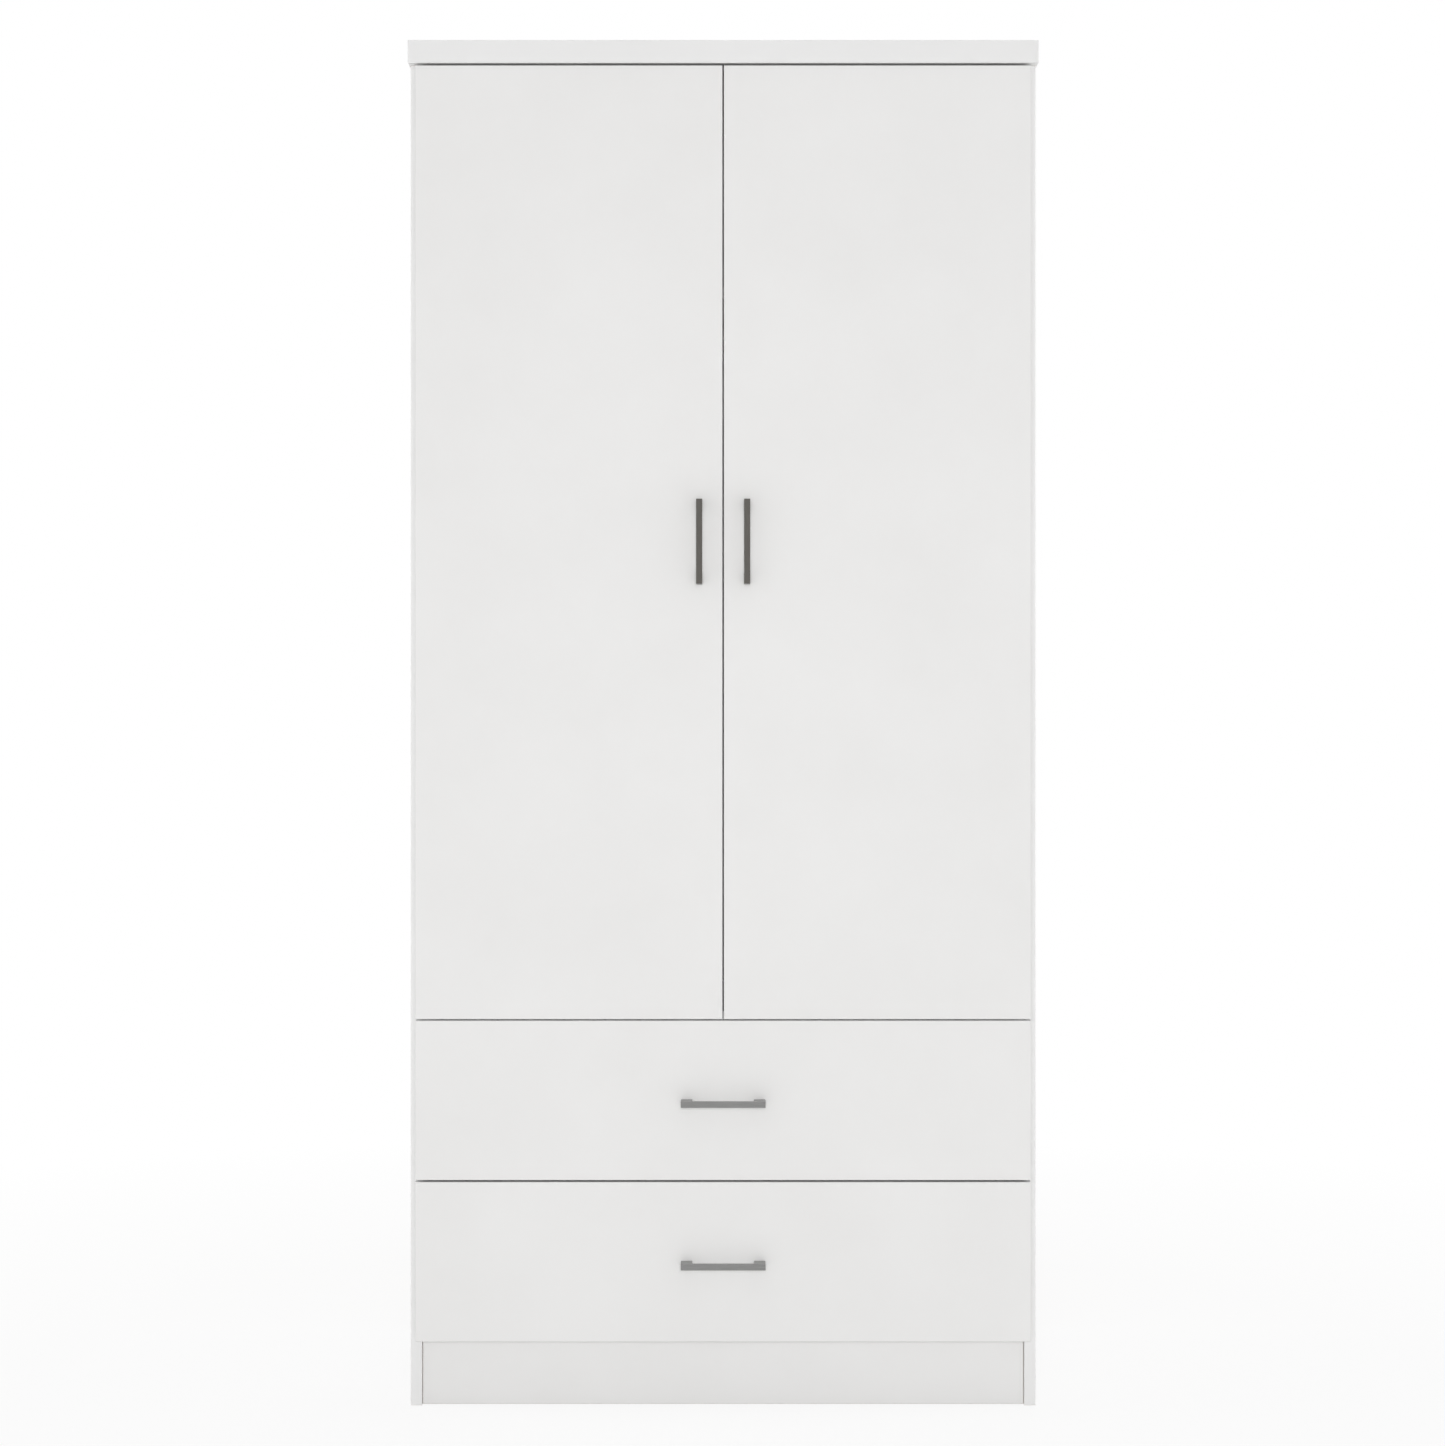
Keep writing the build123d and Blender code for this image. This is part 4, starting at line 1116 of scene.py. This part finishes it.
@dataclass
class Carcass:
    """Fixed boards, their fastenings and the fittings on them.

    The outlines of pads and pin stems are pairs of radius and height, the pad's in shares of its size.
    The bracket screw's numbers are its distance from the middle, from the back and from the top.
    """

    finishes: Finishes
    layout: Layout
    screw: Screw = Screw(head_radius=0.0035, head_height=0.0018, shank_radius=0.00175, length=0.013)
    plate_screws: Triple = (0.002, -0.037, 0.016)
    socket_screws: Triple = (0.003, -0.240, 0.023)
    runner_sheet: float = 0.0012
    runner_setback: float = 0.004
    runner_screws: tuple[float, ...] = (0.038, 0.196, 0.354)
    runner_mid: float = 0.011
    bracket_screw: Triple = (0.250, 0.019, 0.002)
    pad_radius: float = 0.0032
    pad_height: float = 0.0027
    pad_across: float = 0.045
    pad_outline: Outline = ((0.0, 0.0), (1.0, 0.0), (1.0, 0.35), (0.93, 0.62), (0.74, 0.84),
                            (0.42, 0.96), (0.0, 1.0))
    pin_reach: float = 0.013
    pin_half: float = 0.004
    pin_thick: float = 0.006
    pin_ease: float = 0.0006
    pin_flat: float = 0.3
    pin_slope: Pair = (0.38, 0.6)
    stem_outline: Outline = ((0.0, 0.0), (0.0024, 0.0), (0.0024, 0.0084), (0.0019, 0.009), (0.0, 0.009))
    stem_steps: int = 16

    def dress_boards(self) -> None:
        """Laminate on the boards, with chipboard showing on the edges that are out of sight."""
        for side in Side:
            node = side.label + "_side_panel"
            dress(node, Board(node, (Face.BOTTOM, Face.TOP, Face.BACK)).make())
        dress("top_panel", Board("top_panel").make())
        for node in ("middle_deck", "bottom_panel", "hat_shelf"):
            dress(node, Board(node, (Face.LEFT, Face.RIGHT, Face.BACK)).make())
        for node in ("plinth", "rear_plinth_rail"):
            dress(node, Board(node, (Face.LEFT, Face.RIGHT, Face.BOTTOM, Face.TOP)).make())

    def dress_back(self) -> None:
        """Fibre board sheets, the strip that joins them and the nails."""
        for node in ("upper_back_left", "upper_back_right", "lower_back"):
            dress(node, Hardboard(node, Face.FRONT).make())
        dress("back_joiner", self.finishes.plastic)
        dress("back_nails", self.finishes.zinc)

    def dress_fittings(self) -> None:
        """Rail, sockets, cams, dowels, brackets, hinge plates and runners."""
        kit = self.finishes
        for node, material in (
            ("hanging_rail", kit.rail), ("rail_sockets", kit.socket), ("cam_locks", kit.casting),
            ("cam_bolts", kit.zinc), ("dowels", kit.beech), ("wall_brackets", kit.zinc),
            ("hinge_plates", kit.zinc), ("hinge_arms", kit.zinc), ("carcass_screws", kit.zinc),
            ("bumpers", kit.pad), ("shelf_pins", kit.plastic),
        ):
            dress(node, material)
        for level in Level:
            dress(level.value + "_cabinet_runners", kit.coated)
            for end in ("front", "rear"):
                dress(f"{level.value}_{end}_rollers", kit.nylon)

    def screw_places(self) -> Iterable[Matrix]:
        """Every place of a fixing screw's head, with +Z out of the fitting it holds.

        Returns:
            The places.
        """
        low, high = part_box("hanging_rail")
        rail_mid = (low.z + high.z) / 2
        for side in Side:
            for height in self.layout.hinge_heights:
                yield from self.screw_pair(side, height, self.plate_screws)
            yield from self.screw_pair(side, rail_mid, self.socket_screws)
            for level in Level:
                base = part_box(level.value + "_cabinet_runners")[0].z
                for step in self.runner_screws:
                    spot = (self.runner_sheet, -self.runner_setback - step, 0.0)
                    place = self.layout.beside(side, base + self.runner_mid)
                    yield place @ facing(spot, Axis.X.way)
            across, inset, drop = self.bracket_screw
            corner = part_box("wall_brackets")[1]
            spot = (side.value * across, corner.y - inset, corner.z - drop)
            yield facing(spot, -Axis.Z.way)

    def screw_pair(self, side: Side, height: float, spot: Triple) -> Iterable[Matrix]:
        """Places of two screws, one over the other, in a fitting on a side panel.

        Args:
            side: Which side panel.
            height: Height of the fitting's middle.
            spot: Distance off the panel, place from its front edge, and half the step between them.

        Returns:
            The places.
        """
        off, setback, step = spot
        for rise in (-step, step):
            yield self.layout.beside(side, height + rise) @ facing((off, setback, 0.0), Axis.X.way)

    def build_screws(self) -> None:
        """Cross-headed screws of hinge plates, sockets, runners and brackets."""
        piece, screw = Piece("fixing_screws"), self.screw.make()
        for place in self.screw_places():
            piece.put(screw, place)
        piece.finish(self.finishes.zinc, "carcass", Slot.ZINC, "carcass_screws")

    def build_pads(self) -> None:
        """Domed pads that the closed fronts rest on."""
        dome = [(wide * self.pad_radius, high * self.pad_height) for wide, high in self.pad_outline]
        pad = Shape().lathe(dome).mesh()
        piece = Piece("domed_pads")
        deck_top, door_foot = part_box("middle_deck")[1].z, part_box("right_door")[0].z
        spots = [(self.pad_across, (door_foot + deck_top) / 2)]
        for level in Level:
            low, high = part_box(level.value + "_drawer_front")
            spots.append(((self.layout.panel_in + high.x) / 2, (low.z + high.z) / 2))
        for side in Side:
            for across, height in spots:
                spot = (side.value * across, self.layout.panel_edge, height)
                piece.put(pad, facing(spot, -Axis.Y.way))
        piece.finish(self.finishes.pad, "carcass", Slot.PAD, "bumpers")

    def build_pins(self) -> None:
        """Moulded pins under the hat shelf, each with a sloping underside."""
        reach, half, thick = self.pin_reach, self.pin_half, self.pin_thick
        slope = (self.pin_slope[0] * thick, 0.0, -self.pin_slope[1] * reach)
        rest = Shape().block((0.0, -half, -thick), (reach, half, 0.0))
        rest = rest.slice((self.pin_flat * reach, 0.0, -thick), slope).ease(self.pin_ease).mesh()
        stem = Shape().lathe(self.stem_outline, self.stem_steps).mesh()
        piece = Piece("moulded_shelf_pins")
        shelf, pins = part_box("hat_shelf"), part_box("shelf_pins")
        for side in Side:
            for y in (pins[0].y + half, pins[1].y - half):
                place = self.layout.beside(side, shelf[0].z)
                place = place @ Matrix.Translation((0.0, self.layout.panel_edge - y, 0.0))
                piece.put(rest, place)
                piece.put(stem, place @ facing((0.0, 0.0, -thick / 2), -Axis.X.way))
        piece.finish(self.finishes.plastic, "carcass", Slot.PLASTIC, "shelf_pins")


@dataclass
class HandleBolts:
    """Two cross-headed bolts that hold a handle from behind its front."""

    body: str
    bar: Axis
    finishes: Finishes
    head_radius: float = 0.0040
    head_height: float = 0.0022
    shank_radius: float = 0.0020
    half_pitch: float = 0.048

    def build(self) -> None:
        """Set the bolts in the place of the CAD ones."""
        node = self.body + "_handle_screws"
        low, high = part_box(node)
        length = high.y - low.y - self.head_height
        bolt = Screw(self.head_radius, self.head_height, self.shank_radius, length).make()
        piece = Piece(self.body + "_handle_bolts")
        middle = Vector(((low.x + high.x) / 2, high.y - self.head_height, (low.z + high.z) / 2))
        for sign in (-1.0, 1.0):
            piece.put(bolt, facing(middle + self.bar.way * (sign * self.half_pitch), Axis.Y.way))
        piece.finish(self.finishes.zinc, self.body, Slot.ZINC, node)


@dataclass
class Door:
    """One door board with its handle and hinge cups."""

    side: Side
    finishes: Finishes
    hinges: Hinges

    @property
    def name(self) -> str:
        """The door's body and board."""
        return self.side.label + "_door"

    def dress(self) -> None:
        """Laminate on the board, satin metal darkened with painted shade on the handle, plated steel on
        the hinges.
        """
        dress(self.name, Board(self.name).make())
        dress(self.name + "_handle", self.finishes.upright_grip_painted_shade)
        dress(self.name + "_handle_screws", self.finishes.zinc)
        dress(self.side.label + "_hinge_cups", self.finishes.zinc)
        dress(self.side.label + "_hinge_pins", self.finishes.zinc)

    def build(self) -> None:
        """Bolts of the handle and screws of the hinge cups."""
        HandleBolts(self.name, Axis.Z, self.finishes).build()
        self.hinges.build_cup_screws(self.side)


@dataclass
class Drawer:
    """One drawer: front, box, handle, slides and fixings."""

    level: Level
    finishes: Finishes
    box_gloss: float = 0.42

    @property
    def name(self) -> str:
        """The drawer's body."""
        return self.level.value + "_drawer"

    def dress(self) -> None:
        """Laminate on front and box, fibre board in the bottom, metal on the rest, the handle's satin
        metal lightened with painted light.
        """
        dress(self.name + "_front", Board(self.name + "_front").make())
        for part, raw in (
            ("_left_side", (Face.FRONT, Face.BACK, Face.BOTTOM)),
            ("_right_side", (Face.FRONT, Face.BACK, Face.BOTTOM)),
            ("_back", (Face.LEFT, Face.RIGHT, Face.BOTTOM)),
        ):
            dress(self.name + part, Board(self.name + part, raw, self.box_gloss).make())
        dress(self.name + "_bottom", Hardboard(self.name + "_bottom", Face.TOP).make())
        dress(self.name + "_handle", self.finishes.level_grip_painted_light)
        dress(self.name + "_handle_screws", self.finishes.zinc)
        dress(self.name + "_slides", self.finishes.coated)
        dress(self.name + "_fixings", self.finishes.casting)

    def build(self) -> None:
        """Bolts of the handle."""
        HandleBolts(self.name, Axis.X, self.finishes).build()


@dataclass(frozen=True)
class Lamp:
    """One soft box of the studio."""

    name: str
    place: Triple
    aim: Triple
    width: float
    height: float
    power: float
    mirrored: bool = True

    def build(self) -> None:
        """Add the lamp to the scene."""
        light = bpy.data.lights.new(self.name, "AREA")
        light.shape = "RECTANGLE"
        light.size, light.size_y, light.energy = self.width, self.height, self.power
        lamp = bpy.data.objects.new(self.name, light)
        lamp.location = self.place
        way = Vector(self.aim) - Vector(self.place)
        lamp.rotation_euler = way.to_track_quat("-Z", "Y").to_euler()
        lamp.visible_camera = False
        lamp.visible_glossy = self.mirrored
        bpy.context.scene.collection.objects.link(lamp)


@dataclass
class Studio:
    """Pale floor, white surroundings, soft boxes and the camera.

    The picture takes in photo_height at the plane of the fronts. The floor's glow rises from its first
    value to its second over glow_reach, measured from the middle.
    """

    eye_side: float = -0.00085
    eye_height: float = 0.9016
    eye_distance: float = 4.0
    photo_height: float = 1.9026
    sensor: float = 36.0
    ambient: float = 0.44
    floor_half: float = 20.0
    floor_sink: float = 0.0005
    floor_tone: Colour = (0.92, 0.92, 0.92)
    floor_rough: float = 0.9
    floor_glow: Pair = (0.84, 1.0)
    glow_reach: Pair = (1.0, 2.4)
    lamps: tuple[Lamp, ...] = (
        Lamp("front_box", place=(0.0, -5.2, 1.15), aim=(0.0, -0.2, 0.95),
             width=0.9, height=0.9, power=98.5, mirrored=False),
        Lamp("left_box", place=(-4.6, 0.2, 1.4), aim=(-0.4, 0.0, 0.8),
             width=2.4, height=2.4, power=52.0),
        Lamp("right_box", place=(4.6, 0.2, 1.4), aim=(0.4, 0.0, 0.8),
             width=2.4, height=2.4, power=46.0),
        Lamp("top_box", place=(0.0, 0.4, 4.4), aim=(0.0, 0.0, 0.0),
             width=3.0, height=3.0, power=42.0),
        Lamp("rear_box", place=(0.8, 6.0, 1.9), aim=(0.0, 0.2, 0.9),
             width=3.4, height=2.6, power=90.0, mirrored=False),
    )

    def build(self) -> None:
        """Add everything and set the camera."""
        for lamp in self.lamps:
            lamp.build()
        self.surroundings()
        self.floor()
        self.camera()
        bpy.context.scene.view_settings.view_transform = "Standard"

    @staticmethod
    def seen_rays(tree: bpy.types.NodeTree) -> Socket:
        """1 for rays that see the background: camera, glossy and transmission.

        Args:
            tree: Node tree that gets the nodes.

        Returns:
            The factor's socket.
        """
        path = tree.nodes.new("ShaderNodeLightPath")
        seen = path.outputs["Is Camera Ray"]
        for name in ("Is Glossy Ray", "Is Transmission Ray"):
            both = tree.nodes.new("ShaderNodeMath")
            both.operation = "MAXIMUM"
            tree.links.new(seen, both.inputs[0])
            tree.links.new(path.outputs[name], both.inputs[1])
            seen = both.outputs[0]
        return seen

    def surroundings(self) -> None:
        """World that looks white and gives a plain even light."""
        world = bpy.data.worlds.new("white_room")
        world.use_nodes = True
        tree = world.node_tree
        shine = tree.nodes["Background"]
        shine.inputs["Color"].default_value = (1.0, 1.0, 1.0, 1.0)
        level = tree.nodes.new("ShaderNodeMapRange")
        tree.links.new(self.seen_rays(tree), level.inputs[0])
        level.inputs[3].default_value = self.ambient
        level.inputs[4].default_value = 1.0
        tree.links.new(level.outputs[0], shine.inputs["Strength"])
        bpy.context.scene.world = world

    def floor(self) -> None:
        """Pale floor that fades to white and keeps the shadow near the wardrobe."""
        mesh = bpy.data.meshes.new("studio_floor")
        bm = bmesh.new()
        bmesh.ops.create_grid(bm, x_segments=1, y_segments=1, size=self.floor_half)
        bmesh.ops.translate(bm, verts=bm.verts, vec=(0.0, 0.0, -self.floor_sink))
        bm.to_mesh(mesh)
        bm.free()
        floor = bpy.data.objects.new("studio_floor", mesh)
        bpy.context.scene.collection.objects.link(floor)
        shader = Shader("studio_floor")
        shader.set(Base_Color=(*self.floor_tone, 1.0), Roughness=self.floor_rough)
        shader.set(Specular_IOR_Level=0.0)
        far = shader.add("ShaderNodeVectorMath", {0: shader.place})
        far.operation = "LENGTH"
        glow = shader.span(far.outputs["Value"], self.floor_glow, self.glow_reach)
        weight = shader.math("MULTIPLY", glow, self.seen_rays(shader.tree))
        white = shader.add("ShaderNodeEmission", {"Strength": 1.0}).outputs[0]
        both = shader.add("ShaderNodeMixShader", {0: weight, 1: shader.skin.outputs[0], 2: white})
        shader.feed(shader.tree.nodes["Material Output"].inputs["Surface"], both.outputs[0])
        mesh.materials.append(shader.material)
        floor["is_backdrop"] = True

    def camera(self) -> None:
        """Level camera in front of the doors."""
        view = bpy.data.cameras.new("front_view")
        view.sensor_width = self.sensor
        view.lens = self.sensor * self.eye_distance / self.photo_height
        camera = bpy.data.objects.new("front_view", view)
        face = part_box("left_door")[0].y
        camera.location = (self.eye_side, face - self.eye_distance, self.eye_height)
        camera.rotation_euler = (pi / 2, 0.0, 0.0)
        bpy.context.scene.collection.objects.link(camera)
        bpy.context.scene.camera = camera


def write_sizes() -> None:
    """Work out the CAD box and the visual model's box; the result is not kept."""
    sizes = {"cad": CAD_BOX, "visual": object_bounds()}
    {name: [list(corner) for corner in box] for name, box in sizes.items()}


def main() -> None:
    """Build the finishes, dress every sub-assembly and set the studio round it."""
    logging.basicConfig(level=logging.INFO, format="%(name)s: %(message)s")
    finishes, layout = Finishes(), Layout()
    carcass = Carcass(finishes, layout)
    carcass.dress_boards()
    carcass.dress_back()
    carcass.dress_fittings()
    carcass.build_screws()
    carcass.build_pads()
    carcass.build_pins()
    hinges = Hinges(finishes, layout)
    hinges.build()
    for side in Side:
        door = Door(side, finishes, hinges)
        door.dress()
        door.build()
    for level in Level:
        drawer = Drawer(level, finishes)
        drawer.dress()
        drawer.build()
    Studio().build()
    write_sizes()


if __name__ == "__main__":
    main()
